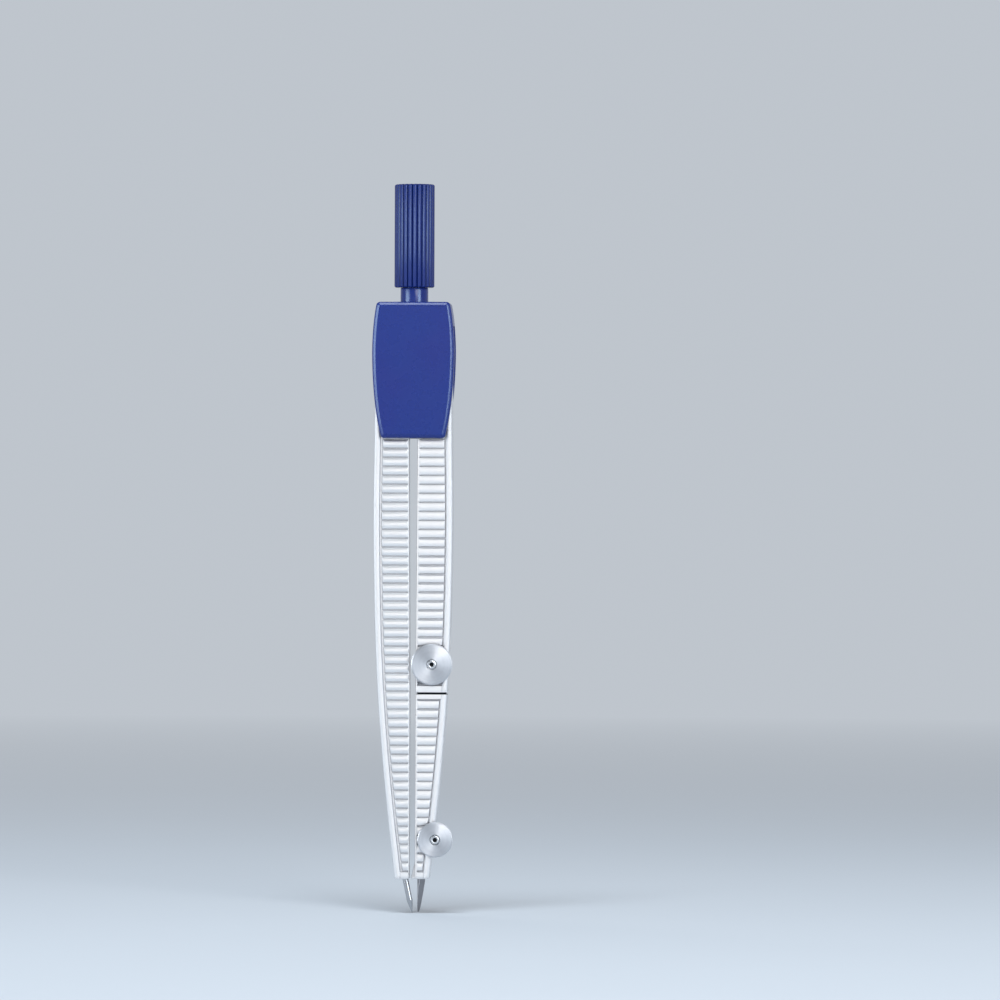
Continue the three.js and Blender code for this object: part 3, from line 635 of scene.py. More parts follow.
class Face:
    """The rails and ribs on the face of one leg."""

    def __init__(self, side):
        left = side < 0
        self.rib_radius = LEFT_RIB_RADIUS if left else RIGHT_RIB_RADIUS
        self.channel = LEFT_CHANNEL if left else RIGHT_CHANNEL
        self.channel_depth = RIB_FOOT if left else RIGHT_CHANNEL_DEPTH
        self.inner_rail = LEFT_INNER_RAIL if left else RIGHT_INNER_RAIL
        self.inner_depth = LEFT_INNER_DEPTH if left else RIGHT_INNER_DEPTH
        start, end = GROOVE_SECTION[-1][0], RIB_PITCH / 2
        back = [start + (end - start) * i / RIB_STEPS for i in range(RIB_STEPS + 1)]
        self.steps = [*(away for away, _ in GROOVE_SECTION), *back[1:]]

    def rib_depth(self, z, grooves):
        """Depth of the ribbed surface at a height, along the middle of the panel."""
        away = min(min(abs(z - g) for g in grooves), RIB_PITCH / 2)
        for (near, near_depth), (far, far_depth) in zip(GROOVE_SECTION, GROOVE_SECTION[1:]):
            if away <= far:
                return near_depth + (far_depth - near_depth) * (away - near) / (far - near)
        from_crest = RIB_PITCH / 2 - away
        return RIB_CREST + self.rib_radius - math.sqrt(self.rib_radius**2 - from_crest**2)

    def profile(self, width, z, grooves, panel):
        """(distance in from the outer edge, depth below the face) across the face at a height."""
        shown = panel(z)
        body = self.rib_depth(z, grooves)
        low, high = OUTER_RAIL + self.channel, width - self.inner_rail
        outer_end = [low + RIB_OUTER_END * s for s in OUTER_END_SHARES]
        span = high - low - RIB_OUTER_END - RIB_INNER_END
        middle = [low + RIB_OUTER_END + span * s for s in MIDDLE_SHARES]

        def rib(u):
            near = min((u - low) / RIB_OUTER_END, 1)
            return RIB_FOOT - (RIB_FOOT - body) * math.sqrt(max(1 - (1 - near) ** 2, 0))

        foot = self.channel_depth
        outer_wall = [(OUTER_RAIL - 0.06, 0.2), (OUTER_RAIL, foot), (low - 0.04, foot)]
        ribs = [(u, rib(u)) for u in (*outer_end, *middle)]
        # the ribs and the grooves between them both run up to the inner rail's edge
        inner_end = [
            (high - RIB_INNER_END * s, self.inner_depth + (body - self.inner_depth) * rise)
            for s, rise in INNER_END_SHARES
        ]
        edge_depth, crown_depth, side_depth = LOW_RAIL_DEPTHS
        if self.inner_depth > side_depth:
            crown = [
                (high + 0.05, self.inner_depth),
                (width - 0.05, self.inner_depth),
                (width, HIGH_RAIL_SIDE_DEPTH),
            ]
        else:
            crown = [
                (high + 0.05, min(self.inner_depth, edge_depth)),
                (width - 0.07, min(self.inner_depth, crown_depth)),
                (width, side_depth),
            ]
        sunk = [(u, d * shown) for u, d in (*outer_wall, *ribs, *inner_end)]
        return [*RAIL_SECTION, *sunk, *crown]


def leg_loft(name, side, low, high, grooves, panel, low_edge=END_ROUNDING, high_edge=0.0):
    """A stretch of leg between two heights, with its rails and ribs on both faces."""
    face = Face(side)
    levels = {low, low + END_STEP, low + END_ROUNDING, high}
    if high_edge:
        levels |= {high - END_STEP, high - END_ROUNDING}
    for groove in grooves:
        levels |= {groove + sign * away for away in face.steps for sign in (-1, 1)}
    levels |= {z for edge in panel.ends for z in (edge - PANEL_FADE, edge, edge + PANEL_FADE)}
    levels |= {low + k for k in range(1, int(high - low))}
    ordered = []
    for z in sorted(z for z in levels if low <= z <= high):
        if not ordered or z - ordered[-1] > LEAST_STEP:
            ordered.append(z)
    ordered[-1] = high
    rings = []
    for z in ordered:
        rounded = 0.0
        for end, size in ((z - low, low_edge), (high - z, high_edge)):
            if size and end < END_ROUNDING:
                from_edge = 1 - end / END_ROUNDING
                rounded = max(rounded, size * (1 - math.sqrt(1 - from_edge**2)))
        outer, inner, deep = outer_edge(z), inner_edge(z), half_depth(z)
        width = outer - inner
        profile = face.profile(width, z, grooves, panel)
        squeeze = 1 - 2 * rounded / width
        across = [side * (outer - rounded - u * squeeze) for u, _ in profile]
        front = [(x, -max(deep - d - rounded, 0.2), z) for x, (_, d) in zip(across, profile)]
        back = [(x, -y, level) for x, y, level in reversed(front)]
        rings.append([*front, *back])
    return loft(name, rings)


class Panel:
    """Where the ribbed panel shows: 1 between its ends, 0 beyond them, and a groove at each end."""

    def __init__(self, low, high):
        self.ends = (low, high)

    def __call__(self, z):
        low, high = self.ends
        begun = smooth_share(low - PANEL_FADE, low + PANEL_FADE, z)
        return begun * smooth_share(high + PANEL_FADE, high - PANEL_FADE, z)

    def grooves(self):
        low, high = self.ends[0] + END_GROOVE, self.ends[1] - END_GROOVE
        count = int((high - LOWEST_GROOVE) / RIB_PITCH) + 1
        heights = [LOWEST_GROOVE + i * RIB_PITCH for i in range(count)]
        between = [z for z in heights if low + 2 * END_GROOVE < z < high - 2 * END_GROOVE]
        return [low, *between, high]


def polar(radius, angle):
    return (radius * math.cos(angle), radius * math.sin(angle))


def arc(radius, start, end, steps):
    return [polar(radius, start + (end - start) * i / steps) for i in range(steps + 1)]


def tooth_outline(angle):
    """One involute tooth that points along angle."""

    def involute(pressure):
        return math.tan(pressure) - pressure

    base = PIVOT_X * math.cos(PRESSURE_ANGLE)
    at_base = math.pi / (2 * TOOTH_COUNT) - TOOTH_BACKLASH / 2 / PIVOT_X + involute(PRESSURE_ANGLE)

    def half_angle(radius):
        return at_base if radius <= base else at_base - involute(math.acos(base / radius))

    flank = [base + (TIP_RADIUS - base) * i / 5 for i in range(6)]
    radii = [ROOT_RADIUS - OVERLAP, *flank]
    rising = [polar(r, angle - half_angle(r)) for r in radii]
    falling = [polar(r, angle + half_angle(r)) for r in reversed(radii)]
    return [*rising, *falling]


def toothed_top(side, tooth_angles):
    """The round head of a leg about its own pivot."""

    def placed(outline):
        return [(side * (x + PIVOT_X), z + PIVOT_Z) for x, z in outline]

    turn_over = math.radians(100)
    round_top = [
        *arc(LEG_TOP_RADIUS, -math.pi / 2, turn_over, 40),
        *arc(ROOT_RADIUS, turn_over, 3 * math.pi / 2, 36),
    ]
    base = plate("top", placed(round_top), -HALF_DEPTH_TOP, HALF_DEPTH_TOP)
    teeth = [
        plate("tooth", placed(tooth_outline(angle)), -HALF_DEPTH_TOP, HALF_DEPTH_TOP)
        for angle in tooth_angles
    ]
    return combine(base, "UNION", *teeth)


def pivot_cuts(side):
    at = along_y(side * PIVOT_X, PIVOT_Z)
    seat = HALF_DEPTH_TOP - WASHER_SEAT_DEPTH
    return [
        cylinder(PIN_RADIUS + FIXED_GAP, -WIDE, WIDE, at),
        cylinder(WASHER_SEAT_RADIUS, seat, WIDE, at),
        cylinder(WASHER_SEAT_RADIUS, -WIDE, -seat, at),
    ]


def turned_boss(radius, near, far, at, edge=0.1):
    """A round boss with broken edges."""
    profile = [
        (0, near),
        (radius - edge, near),
        (radius - edge * 0.3, near + edge * 0.3),
        (radius, near + edge),
        (radius, far - edge),
        (radius - edge * 0.3, far - edge * 0.3),
        (radius - edge, far),
        (0, far),
    ]
    return lathe("boss", profile, at, 96)


# ---------------------------------------------------------------- clamp screws' places


class Screw:
    """Where a clamp screw's disc stands, read from its CAD node."""

    def __init__(self, knob):
        low, high = box_mm(knob)
        self.x = (low.x + high.x) / 2
        self.z = (low.z + high.z) / 2
        self.radius = (high.z - low.z) / 2
        self.front = low.y
        self.back = high.y
        self.at = along_y(self.x, self.z)


INSERT_SCREW = Screw("insert_clamp_knob")
LEAD_SCREW = Screw("lead_clamp_knob")

# ---------------------------------------------------------------- left leg and needle

TOOTH_ANGLE = 2 * math.pi / TOOTH_COUNT


def needle_place(r, a, h):
    """From the needle's tip, up and to the left by its tilt."""
    x, y = r * math.cos(a), r * math.sin(a)
    sine, cosine = math.sin(NEEDLE_TILT), math.cos(NEEDLE_TILT)
    return (x * cosine - h * sine, y, x * sine + h * cosine)


def build_left_leg():
    side = -1
    panel = Panel(LEG_LOW.z + FOOT_MARGIN, PANEL_TOP)
    leg = leg_loft("leg", side, LEG_LOW.z, PIVOT_Z, panel.grooves(), panel)
    top = toothed_top(side, [math.pi - i * TOOTH_ANGLE for i in range(3)])
    combine(leg, "UNION", top)
    bore = cylinder(NEEDLE_RADIUS + FIXED_GAP, 0, NEEDLE_LENGTH + RUNNING_GAP, needle_place)
    combine(leg, "DIFFERENCE", *pivot_cuts(side), bore)
    finish_piece(leg, "ribbed_left_leg", CAST_METAL, "needle_leg", ["left_leg"])


def build_needle():
    profile = [
        (0, 0),
        (0.035, 0.06),
        (0.12, 0.42),
        (NEEDLE_RADIUS - 0.06, NEEDLE_POINT - 0.35),
        (NEEDLE_RADIUS - 0.012, NEEDLE_POINT - 0.08),
        (NEEDLE_RADIUS, NEEDLE_POINT + 0.15),
        (NEEDLE_RADIUS, NEEDLE_LENGTH - 0.1),
        (NEEDLE_RADIUS - 0.1, NEEDLE_LENGTH),
        (0, NEEDLE_LENGTH),
    ]
    needle = lathe("needle", profile, needle_place, 48)
    finish_piece(needle, "ground_needle", NEEDLE_STEEL, "needle_leg", ["needle"], 50)


# ---------------------------------------------------------------- right leg, its insert and its jaw


def build_right_upper_leg():
    side = 1
    panel = Panel(UPPER_LOW.z + BAND_ABOVE_SPLIT, PANEL_TOP)
    leg = leg_loft("leg", side, UPPER_LOW.z, PIVOT_Z, panel.grooves(), panel, SPLIT_EDGE)
    top = toothed_top(side, [math.pi - (i - 0.5) * TOOTH_ANGLE for i in range(4)])
    face = half_depth(INSERT_SCREW.z)
    seat = turned_boss(2.4, -face + 0.01, -1.5, INSERT_SCREW.at)
    combine(leg, "UNION", top, seat)
    socket_half = 0.97
    socket = block((0, WIDE), (-socket_half, socket_half), (0, 48.6))
    stud_hole = cylinder(STUD_HOLE_RADIUS, -WIDE, WIDE, INSERT_SCREW.at)
    combine(leg, "DIFFERENCE", socket, stud_hole, *pivot_cuts(side))
    finish_piece(leg, "ribbed_right_leg", CAST_METAL, "lead_leg", ["right_upper_leg"])


LEAD_X = (LEAD_LOW.x + LEAD_HIGH.x) / 2
SPLIT_HIGH = UPPER_LOW.z - 2.1 * RUNNING_GAP
# painted shade: the insert's metal is nearly black where its tongue sits in the split, as the split's
# shadow
GAP_SHADED_METAL = make_cast_metal("cast_metal_with_painted_gap_shade", (SPLIT_HIGH - 0.05, UPPER_LOW.z + 0.1))


def insert_blank(name, high, high_edge, *extras):
    """The foot of the right leg up to a height, with the ear for the lead screw."""
    panel = Panel(LEG_LOW.z + FOOT_MARGIN, SPLIT_HIGH - BAND_BELOW_SPLIT)
    grooves = panel.grooves()
    blank = leg_loft(name, 1, LEG_LOW.z, high, grooves, panel, 0.12, high_edge)
    face = half_depth(LEAD_SCREW.z) - 0.01
    ear = turned_boss(EAR_RADIUS, -face, face, LEAD_SCREW.at)
    combine(blank, "UNION", ear, *extras)
    lead_bore = cylinder(LEAD_BORE_RADIUS, 0, LEAD_BORE_TOP, along_z(LEAD_X, 0))
    stud_hole = cylinder(STUD_HOLE_RADIUS, -WIDE, WIDE, LEAD_SCREW.at)
    return combine(blank, "DIFFERENCE", lead_bore, stud_hole)


def tongue():
    """The flat tongue that plugs into the upper leg, with a slot that is open at the top."""
    low, high = SPLIT_HIGH - 0.9, INSERT_HIGH.z
    aside, slot_half = 0.25, 0.95
    x, z = INSERT_SCREW.x, INSERT_SCREW.z
    heights = [low + (high - 0.2 - low) * i / 8 for i in range(9)]
    outer = [(outer_edge(h) - aside, h) for h in heights]
    outer.append((outer_edge(high) - aside - 0.2, high))
    slot = [(x + slot_half, high)]
    slot += [(x + px, z + pz) for px, pz in arc(slot_half, 0, -math.pi, 24)]
    slot += [(x - slot_half, high)]
    inner = [(inner_edge(high) + aside + 0.2, high)]
    inner += [(inner_edge(h) + aside, h) for h in reversed(heights)]
    return plate("tongue", [*outer, *slot, *inner], -0.82, 0.82, 0.06)


def build_lead_insert():
    """The insert, with a nearly black band of painted shade on it where it enters the upper leg,
    standing in for the shadow in the split.
    """
    insert = insert_blank("insert", SPLIT_HIGH, SPLIT_EDGE)
    behind = block((-WIDE, WIDE), (-JAW_PARTING, WIDE), (0, JAW_HIGH.z + 2 * JAW_PARTING))
    combine(insert, "DIFFERENCE", behind)
    combine(insert, "UNION", tongue())
    finish_piece(insert, "ribbed_lead_insert", GAP_SHADED_METAL, "insert", ["lead_insert"])


def build_jaw():
    """The rear half of the clamp, with a flared lip at the foot of its inner edge."""
    reach = INNER_EDGE_BOTTOM + OVERLAP
    outline = [
        (JAW_LOW.x, LEG_LOW.z),
        (reach, LEG_LOW.z),
        (reach, LIP_TOP),
        (INNER_EDGE_BOTTOM, LIP_TOP),
    ]
    lip = plate("lip", outline, LIP_FRONT, half_depth(LEG_LOW.z) - 0.02, 0.04)
    jaw = insert_blank("jaw", JAW_HIGH.z, 0.0, lip)
    rear = block((-WIDE, WIDE), (JAW_PARTING, WIDE), (0, WIDE * 2))
    combine(jaw, "INTERSECT", rear)
    finish_piece(jaw, "ribbed_clamp_jaw", CAST_METAL, "jaw", ["lead_clamp_jaw"])


# ---------------------------------------------------------------- clamp screws


def build_knob(screw, name, body, node, knurls):
    """A turned disc: chamfered rims, a straight knurl between them and a bore for the stud."""
    bore, edge = 0.86, 0.2
    front, back, radius = 0, screw.back - screw.front, screw.radius
    profile = [
        (bore + 0.08, front),
        (radius - edge - 0.05, front),
        (radius - edge, front + 0.012),
        (radius - 0.06, front + edge - 0.06),
        (radius - 0.012, front + edge - 0.012),
        (radius, front + edge + 0.03),
        (radius, back - edge - 0.03),
        (radius - 0.012, back - edge + 0.012),
        (radius - 0.06, back - edge + 0.06),
        (radius - edge, back),
        (bore, back),
        (bore, front + 0.1),
    ]
    knurled = range(5, 7)

    def ridges(level, angle):
        return 0.07 * (0.5 - 0.5 * math.cos(knurls * angle)) ** 0.7 if level in knurled else 0

    points, faces = [], []
    segments = knurls * 4
    place = along_y(0, 0)
    for level, (r, h) in enumerate(profile):
        for i in range(segments):
            angle = 2 * math.pi * i / segments
            points.append(place(r - ridges(level, angle), angle, h))
    rows = len(profile)
    for level in range(rows):
        upper = (level + 1) % rows
        lower_ring, upper_ring = level * segments, upper * segments
        for i in range(segments):
            j = (i + 1) % segments
            faces.append((lower_ring + i, lower_ring + j, upper_ring + j, upper_ring + i))
    knob = new_object("knob", points, faces)
    knob.location = (screw.x, screw.front, screw.z)
    finish_piece(knob, name, SPUN_METAL, body, [node], 28)


def build_stud(screw, name, body, node):
    """The stud through the disc: its end is crowned, with a drilled centre."""
    low, high = box_mm(node)
    length = high.y - low.y
    hole, crown = 0.37, 0.8
    profile = [
        (0, 0.94),
        (hole - 0.02, 0.76),
        (hole, 0.72),
        (hole, 0.07),
        (hole + 0.05, 0.015),
        (hole + 0.12, 0),
        (crown - 0.2, 0.01),
        (crown - 0.09, 0.05),
        (crown - 0.02, 0.12),
        (crown, 0.22),
        (crown, length - 0.12),
        (crown - 0.12, length),
        (0, length),
    ]
    stud = lathe("stud", profile, along_y(0, 0), 64)
    stud.location = (screw.x, low.y, screw.z)
    finish_piece(stud, name, STUD_STEEL, body, [node], 40)
    # painted shade: the faces inside the drilled centre take the near-black steel
    stud.data.materials.append(HOLE_SHADE_STEEL)
    for face in stud.data.polygons:
        middle = face.center / MM
        if math.hypot(middle.x, middle.z) < hole and middle.y < 1:
            face.material_index = 1


# ---------------------------------------------------------------- lead


def build_lead():
    """A round lead, sharpened by one slanting flat to an edge at its foot."""
    low, high = LEAD_LOW.z, LEAD_HIGH.z
    rod = turned_boss(LEAD_RADIUS, low, high, along_z(LEAD_X, 0), 0.05)
    # the first coordinate runs from the lead's axis the way that the flat faces
    edge, reach = LEAD_EDGE_THICKNESS - LEAD_RADIUS, 3 * LEAD_RADIUS
    outline = [
        (edge, low),
        (edge + reach, low + reach / LEAD_FLAT_SLOPE),
        (edge + reach, low - 1),
        (edge - LEAD_FLAT_SLOPE, low - 1),
    ]
    waste = plate("waste", outline, -2 * LEAD_RADIUS, 2 * LEAD_RADIUS)
    turn = Matrix.Rotation(-LEAD_FLAT_TURN, 4, "Z")
    waste.data.transform(Matrix.Translation((LEAD_X, 0, 0)) @ turn)
    combine(rod, "DIFFERENCE", waste)
    finish_piece(rod, "sharpened_lead", GRAPHITE, "lead_rod", ["lead"])


# ---------------------------------------------------------------- head


def quadratic(start, control, end, steps):
    """Points along a quadratic curve, without its start."""
    made = []
    for i in range(1, steps + 1):
        t = i / steps
        weights = ((1 - t) ** 2, 2 * t * (1 - t), t**2)
        points = (start, control, end)
        made.append(tuple(sum(w * p[k] for w, p in zip(weights, points)) for k in (0, 1)))
    return made


def head_outline():
    """Barrel sided, widest above the middle, with small round corners."""
    bottom, top = HEAD_LOW.z, HEAD_HIGH.z
    low_start = (HEAD_BOTTOM_HALF - HEAD_CORNER, bottom)
    low_end = (HEAD_BOTTOM_HALF + HEAD_LEAN_AT_CORNER, bottom + HEAD_CORNER)
    middle = (HEAD_WIDEST_HALF, HEAD_WIDEST)
    high_start = (HEAD_TOP_HALF + HEAD_LEAN_AT_CORNER, top - HEAD_CORNER)
    high_end = (HEAD_TOP_HALF - HEAD_CORNER, top)
    right = [
        low_start,
        *quadratic(low_start, (HEAD_BOTTOM_HALF, bottom), low_end, 8),
        *quadratic(low_end, (SIDE_CONTROL_HALF, LOWER_SIDE_CONTROL), middle, 26),
        *quadratic(middle, (SIDE_CONTROL_HALF, UPPER_SIDE_CONTROL), high_start, 16),
        *quadratic(high_start, (HEAD_TOP_HALF, top), high_end, 8),
    ]
    left = [(-x, z) for x, z in reversed(right)]
    return [*right, *left]


def shell_block(face):
    """One half of the head as a solid block with a rounded outer edge and a fine parting edge."""
    outline = head_outline()
    deep = -HEAD_LOW.y
    parting = FIXED_GAP / 2
    rings = [(parting, 0.05), (parting + 0.05, 0)]
    rings += [(deep - depth, amount) for amount, depth in HEAD_EDGE_SECTION]
    levels = [[(x, face * y, z) for x, z in inset(outline, amount)] for y, amount in rings]
    return loft("shell", levels)


def bearing_plate_room(half):
    """The pockets that the two bearing plates stand in."""
    grow = RUNNING_GAP
    web, tab = PLATE_WEB_HALF + grow, PLATE_TAB_HALF + grow
    depth = (-half, half)
    room = block((-PIVOT_X, PIVOT_X), depth, (PIVOT_Z - web, PIVOT_Z + web))
    tools = [block((-tab, tab), depth, (PIVOT_Z, PLATE_TOP + grow))]
    for side in (-1, 1):
        tools.append(cylinder(PLATE_END_RADIUS + grow, *depth, along_y(side * PIVOT_X, PIVOT_Z)))
    return combine(room, "UNION", *tools)


def build_shell(face, name, node):
    ceiling = HEAD_HIGH.z - HEAD_WALL
    depth = (-LEG_ROOM_HALF_DEPTH, LEG_ROOM_HALF_DEPTH)
    pin_end = PIN_HIGH.y + RUNNING_GAP
    shell = shell_block(face)
    hollows = [
        block((-WIDE, WIDE), depth, (HEAD_LOW.z - 1, SIDE_OPENING_TOP)),
        block((-UPPER_ROOM_HALF, UPPER_ROOM_HALF), depth, (SIDE_OPENING_TOP - 1, ceiling)),
        bearing_plate_room(PLATE_FAR_FACE + RUNNING_GAP / 2),
        cylinder(NECK_RADIUS + FIXED_GAP, ceiling - 1, HEAD_HIGH.z + 1, along_z(0, 0), 96),
    ]
    for side in (-1, 1):
        pin_place = along_y(side * PIVOT_X, PIVOT_Z)
        hollows.append(cylinder(PIN_RADIUS + FIXED_GAP, -pin_end, pin_end, pin_place))
    combine(shell, "DIFFERENCE", *hollows)
    near, far = sorted((face * FIXED_GAP / 2, face * (LEG_ROOM_HALF_DEPTH + OVERLAP)))
    screws = [box_mm(n) for n in ("left_cover_screw", "right_cover_screw")]
    places = [along_y((low.x + high.x) / 2, (low.z + high.z) / 2) for low, high in screws]
    combine(shell, "UNION", *[cylinder(COVER_BOSS_RADIUS, near, far, at) for at in places])
    holes = []
    for at in places:
        holes.append(cylinder(0.56, -COVER_SCREW_SEAT, WIDE, at))
        holes.append(cylinder(1.01, COVER_SCREW_SEAT, WIDE, at))
    combine(shell, "DIFFERENCE", *holes)
    merge_flat_faces(shell)
    finish_piece(shell, name, BLUE_SHELL, "head", [node])


def build_cover_screw(node, name):
    """A small pan head with a cross recess, sunk in the back shell."""
    low, high = box_mm(node)
    x, z = (low.x + high.x) / 2, (low.z + high.z) / 2
    radius, shank, seat, top = (high.x - low.x) / 2, 0.5, COVER_SCREW_SEAT + FIXED_GAP, high.y
    profile = [
        (0, low.y),
        (shank - 0.15, low.y),
        (shank, low.y + 0.2),
        (shank, seat),
        (radius - 0.05, seat),
        (radius, seat + 0.05),
        (radius, top - 0.3),
        (radius - 0.05, top - 0.15),
        (radius - 0.2, top - 0.04),
        (radius - 0.4, top),
        (0, top),
    ]
    screw = lathe("screw", profile, along_y(x, z), 64)
    long, thin, deep = 0.58, 0.12, 0.4
    for half_x, half_z in ((long, thin), (thin, long)):
        recess = block((x - half_x, x + half_x), (top - deep, WIDE), (z - half_z, z + half_z))
        combine(screw, "DIFFERENCE", recess)
    finish_piece(screw, name, STUD_STEEL, "head", [node])


# ---------------------------------------------------------------- handle


def build_grip():
    """24 round ridges that run the whole length, with broken edges at both ends."""
    low, high = GRIP_LOW.z, GRIP_HIGH.z
    radius = GRIP_HIGH.y
    bore = CORE_RADIUS + FIXED_GAP
    ends = [(0, 1), (0.3, 0.55), (0.7, 0.12), (1, 0)]
    bottom = [(radius - GRIP_EDGE * b, low + GRIP_EDGE * a) for a, b in ends]
    top = [(radius - GRIP_EDGE * b, high - GRIP_EDGE * a) for a, b in reversed(ends)]
    profile = [(0, GRIP_BORE_TOP), (bore, GRIP_BORE_TOP), (bore, low), *bottom, *top, (0, high)]
    fluted = range(3, 3 + len(bottom) + len(top))

    def ridges(level, angle):
        if level not in fluted:
            return 0
        pitch = 2 * math.pi / FLUTE_COUNT
        from_crest = radius * abs((angle - FLUTE_TURN + pitch / 2) % pitch - pitch / 2)
        rounded = RIDGE_RADIUS - math.sqrt(max(RIDGE_RADIUS**2 - from_crest**2, 0))
        return min(rounded, FLUTE_DEPTH)

    grip = lathe("grip", profile, along_z(0, 0), FLUTE_COUNT * 24, ridges)
    finish_piece(grip, "fluted_grip", BLUE_GRIP, "head", ["handle_grip"], 40)


def build_stem():
    """The smooth neck, the core inside the grip and the foot block with its two lugs."""
    ceiling = HEAD_HIGH.z - HEAD_WALL - FIXED_GAP
    neck_top = GRIP_LOW.z - FIXED_GAP
    profile = [
        (0, ceiling - OVERLAP),
        (NECK_RADIUS, ceiling - OVERLAP),
        (NECK_RADIUS, neck_top - 0.12),
        (NECK_RADIUS - 0.04, neck_top - 0.04),
        (NECK_RADIUS - 0.12, neck_top),
        (CORE_RADIUS, neck_top),
        (CORE_RADIUS, STEM_HIGH.z - 0.2),
        (CORE_RADIUS - 0.2, STEM_HIGH.z),
        (0, STEM_HIGH.z),
    ]
    stem = lathe("stem", profile, along_z(0, 0), 96)
    foot_half, lug_half, lug_reach = 2.55, 1, STEM_HIGH.y
    foot = block((-foot_half, foot_half), (-foot_half, foot_half), (STEM_LOW.z, ceiling))
    lugs = block((-lug_half, lug_half), (-lug_reach, lug_reach), (101.15, 101.75))
    combine(stem, "UNION", foot, lugs)
    finish_piece(stem, "smooth_stem", BLUE_STEM, "head", ["handle_stem"])


# ---------------------------------------------------------------- the compass

build_grip()
build_stem()
build_shell(-1, "front_shell", "head_front_shell")
build_shell(1, "back_shell", "head_back_shell")
build_cover_screw("left_cover_screw", "left_pan_screw")
build_cover_screw("right_cover_screw", "right_pan_screw")
build_left_leg()
build_needle()
build_right_upper_leg()
build_lead_insert()
build_jaw()
build_lead()
build_knob(INSERT_SCREW, "insert_spun_disc", "insert_screw", "insert_clamp_knob", 84)
build_stud(INSERT_SCREW, "insert_screw_stud", "insert_screw", "insert_clamp_stud")
build_knob(LEAD_SCREW, "lead_spun_disc", "lead_screw", "lead_clamp_knob", 72)
build_stud(LEAD_SCREW, "lead_screw_stud", "lead_screw", "lead_clamp_stud")

# nodes whose CAD shape stays
KEPT = {
    "front_bearing_plate": SHEET_STEEL,
    "back_bearing_plate": SHEET_STEEL,
    "left_hinge_pin": PIN_STEEL,
    "right_hinge_pin": PIN_STEEL,
    "left_front_washer": SHEET_STEEL,
    "left_back_washer": SHEET_STEEL,
    "right_front_washer": SHEET_STEEL,
    "right_back_washer": SHEET_STEEL,
}
for node, material in KEPT.items():
    for slot in frame["nodes"][node].material_slots:
        slot.material = material

# ---------------------------------------------------------------- stage

# place and size of each soft box
BOXES = {
    "front": ((0, -0.9, 0.12), (0.9, 0.5)),
    "key": ((0.24, -0.56, 0.42), (0.25, 0.25)),
    "top": ((-0.05, -0.3, 0.7), (0.35, 0.25)),
    "left": ((-0.51, -0.32, 0.1), (0.34, 0.5)),
    "right": ((0.43, -0.42, 0.14), (0.22, 0.5)),
    "back": ((-0.3, 0.7, 0.8), (0.6, 0.6)),
    "rim": ((-0.57, 0.15, 0.08), (0.3, 0.4)),
}
TINTS = {
    "front": (1, 0.96, 0.92),
    "key": (1, 1, 1),
    "top": (0.8, 0.91, 1),
    "left": (0.85, 0.93, 1),
    "right": (0.85, 0.93, 1),
    "back": (1, 1, 1),
    "rim": (0.9, 0.95, 1),
}
# the boxes that are tinted blue for the blue plastic, which keeps its highlights in its own shade
BLUE_TINT = (0.62, 0.83, 1)
BLUE_BOXES = {"plastic": ("left", "right"), "grip": ("front", "left", "right")}
# watts of each soft box on each kind of surface
STRENGTHS = {
    "stage": {"key": 1.2, "top": 4.2, "back": 1.6},
    "plastic": {"front": 0.3, "key": 1.0, "top": 2.6, "left": 4.6, "right": 3.6, "back": 1.6},
    "grip": {"front": 8.0, "key": 0.6, "top": 0.8, "left": 1.0, "right": 0.8, "back": 1.6},
    "castings": {"front": 1.5, "key": 0.3, "top": 0.5, "left": 0.8, "right": 0.6, "back": 1.6},
    "turned": {"front": 0.1, "key": 2.2, "top": 0.8, "left": 0.8, "right": 1.8, "back": 1.6, "rim": 3.5},
    "graphite": {"front": 0.1, "key": 0.8, "top": 0.3, "left": 7.0, "right": 0.4, "back": 1.6},
}


def build_floor():
    half = 3.0
    mesh = bpy.data.meshes.new("floor")
    corners = [(-half, -half, 0), (half, -half, 0), (half, half, 0), (-half, half, 0)]
    mesh.from_pydata(corners, [], [(0, 1, 2, 3)])
    floor = bpy.data.objects.new("floor", mesh)
    mesh.materials.append(make_paper("pale_paper", (0.57, 0.595, 0.63), STUDIO_SHADE))
    bpy.context.scene.collection.objects.link(floor)


def build_light(name, place, target, size, power, shade=(1, 1, 1)):
    """A soft square light that faces target and isn't seen itself."""
    data = bpy.data.lights.new(name, "AREA")
    data.shape = "RECTANGLE"
    data.size, data.size_y = size
    data.energy = power
    data.color = shade
    light = bpy.data.objects.new(name, data)
    light.location = place
    light.rotation_mode = "QUATERNION"
    light.rotation_quaternion = (Vector(target) - Vector(place)).to_track_quat("-Z", "Y")
    light.visible_camera = False
    bpy.context.scene.collection.objects.link(light)
    return light


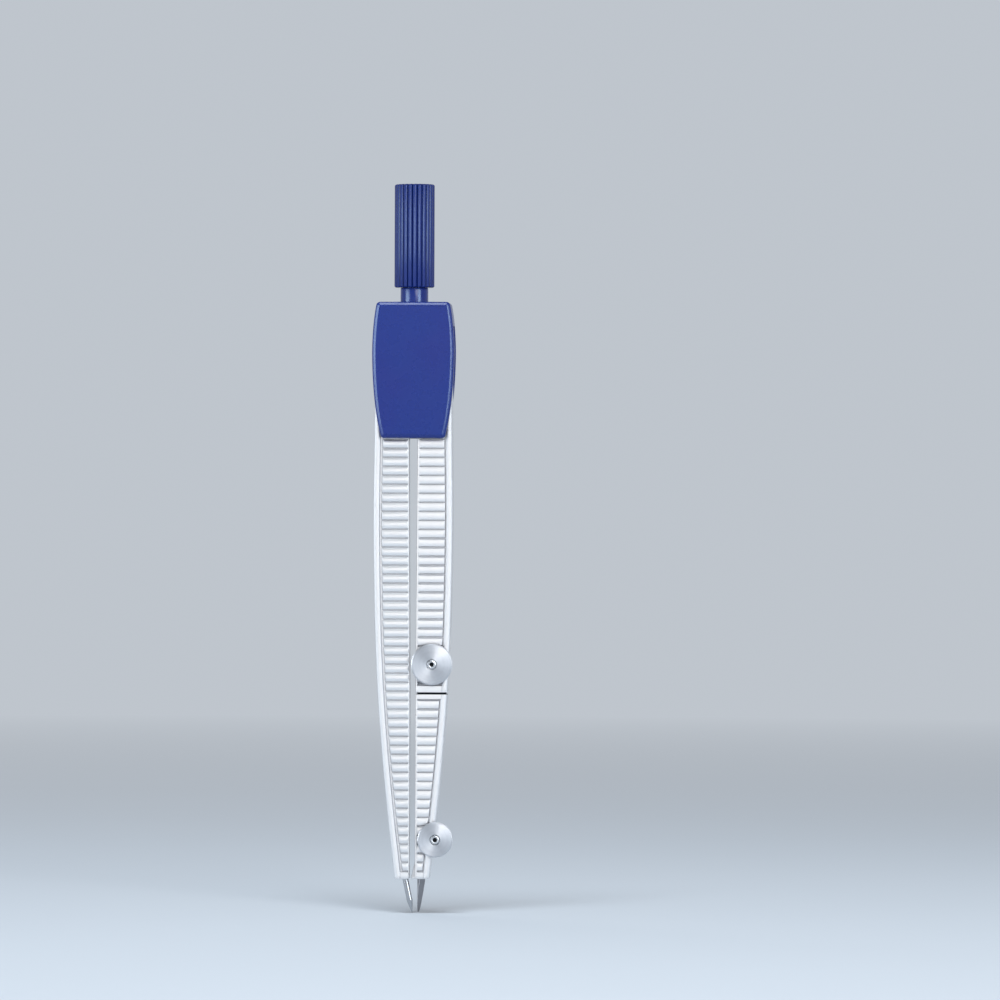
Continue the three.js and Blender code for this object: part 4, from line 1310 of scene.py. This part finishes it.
def surfaces_by_kind():
    """One collection for each kind of surface, which takes each soft box at its own strength."""
    kinds = {
        CAST_METAL: "castings",
        GAP_SHADED_METAL: "castings",
        BLUE_SHELL: "plastic",
        BLUE_STEM: "plastic",
        BLUE_GRIP: "grip",
        GRAPHITE: "graphite",
    }
    groups = {kind: bpy.data.collections.new(kind) for kind in STRENGTHS}
    for made in bpy.context.scene.objects:
        if made.name == "floor":
            groups["stage"].objects.link(made)
        elif made.type == "MESH" and made.material_slots:
            groups[kinds.get(made.material_slots[0].material, "turned")].objects.link(made)
    return groups


def build_lights():
    middle = (0, 0, 0.06)
    groups = surfaces_by_kind()
    for kind, strengths in STRENGTHS.items():
        for box, watts in strengths.items():
            place, size = BOXES[box]
            tint = BLUE_TINT if box in BLUE_BOXES.get(kind, ()) else TINTS[box]
            light = build_light(f"{box}_box_for_{kind}", place, middle, size, watts, tint)
            light.light_linking.receiver_collection = groups[kind]


def build_world():
    world = bpy.data.worlds.new("studio")
    world.use_nodes = True
    background = next(n for n in world.node_tree.nodes if n.type == "BACKGROUND")
    tree = world.node_tree
    direction = tree.nodes.new("ShaderNodeTexCoord").outputs["Generated"]
    apart = tree.nodes.new("ShaderNodeSeparateXYZ")
    tree.links.new(direction, apart.inputs[0])
    dimmer = tree.nodes.new("ShaderNodeMapRange")
    tree.links.new(apart.outputs["Z"], dimmer.inputs["Value"])
    for name, value in {"From Min": 0.2, "From Max": 0.75, "To Min": 1.0, "To Max": 0.5}.items():
        dimmer.inputs[name].default_value = value
    background.inputs["Color"].default_value = rgb(*STUDIO_SHADE)
    tree.links.new(dimmer.outputs["Result"], background.inputs["Strength"])
    bpy.context.scene.world = world


def build_camera():
    """The photograph's view: level, a little from the right, with the compass left of the middle."""
    distance, azimuth, roll = 1.2, math.radians(2.0), math.radians(0.2)
    frame_width = 0.1697
    aim = Vector((0.01466, 0, 0.0702))
    data = bpy.data.cameras.new("photo_view")
    data.sensor_width = 36
    data.lens = data.sensor_width * distance / frame_width
    data.clip_start, data.clip_end = 0.01, 20
    camera = bpy.data.objects.new("photo_view", data)
    away = Vector((math.sin(azimuth), -math.cos(azimuth), 0))
    camera.location = aim + away * distance
    camera.rotation_mode = "QUATERNION"
    tilt = Matrix.Rotation(roll, 3, away).to_quaternion()
    camera.rotation_quaternion = tilt @ (-away).to_track_quat("-Z", "Y")
    bpy.context.scene.collection.objects.link(camera)
    bpy.context.scene.camera = camera


build_floor()
build_world()
build_lights()
build_camera()
bpy.context.scene.view_settings.view_transform = "Standard"
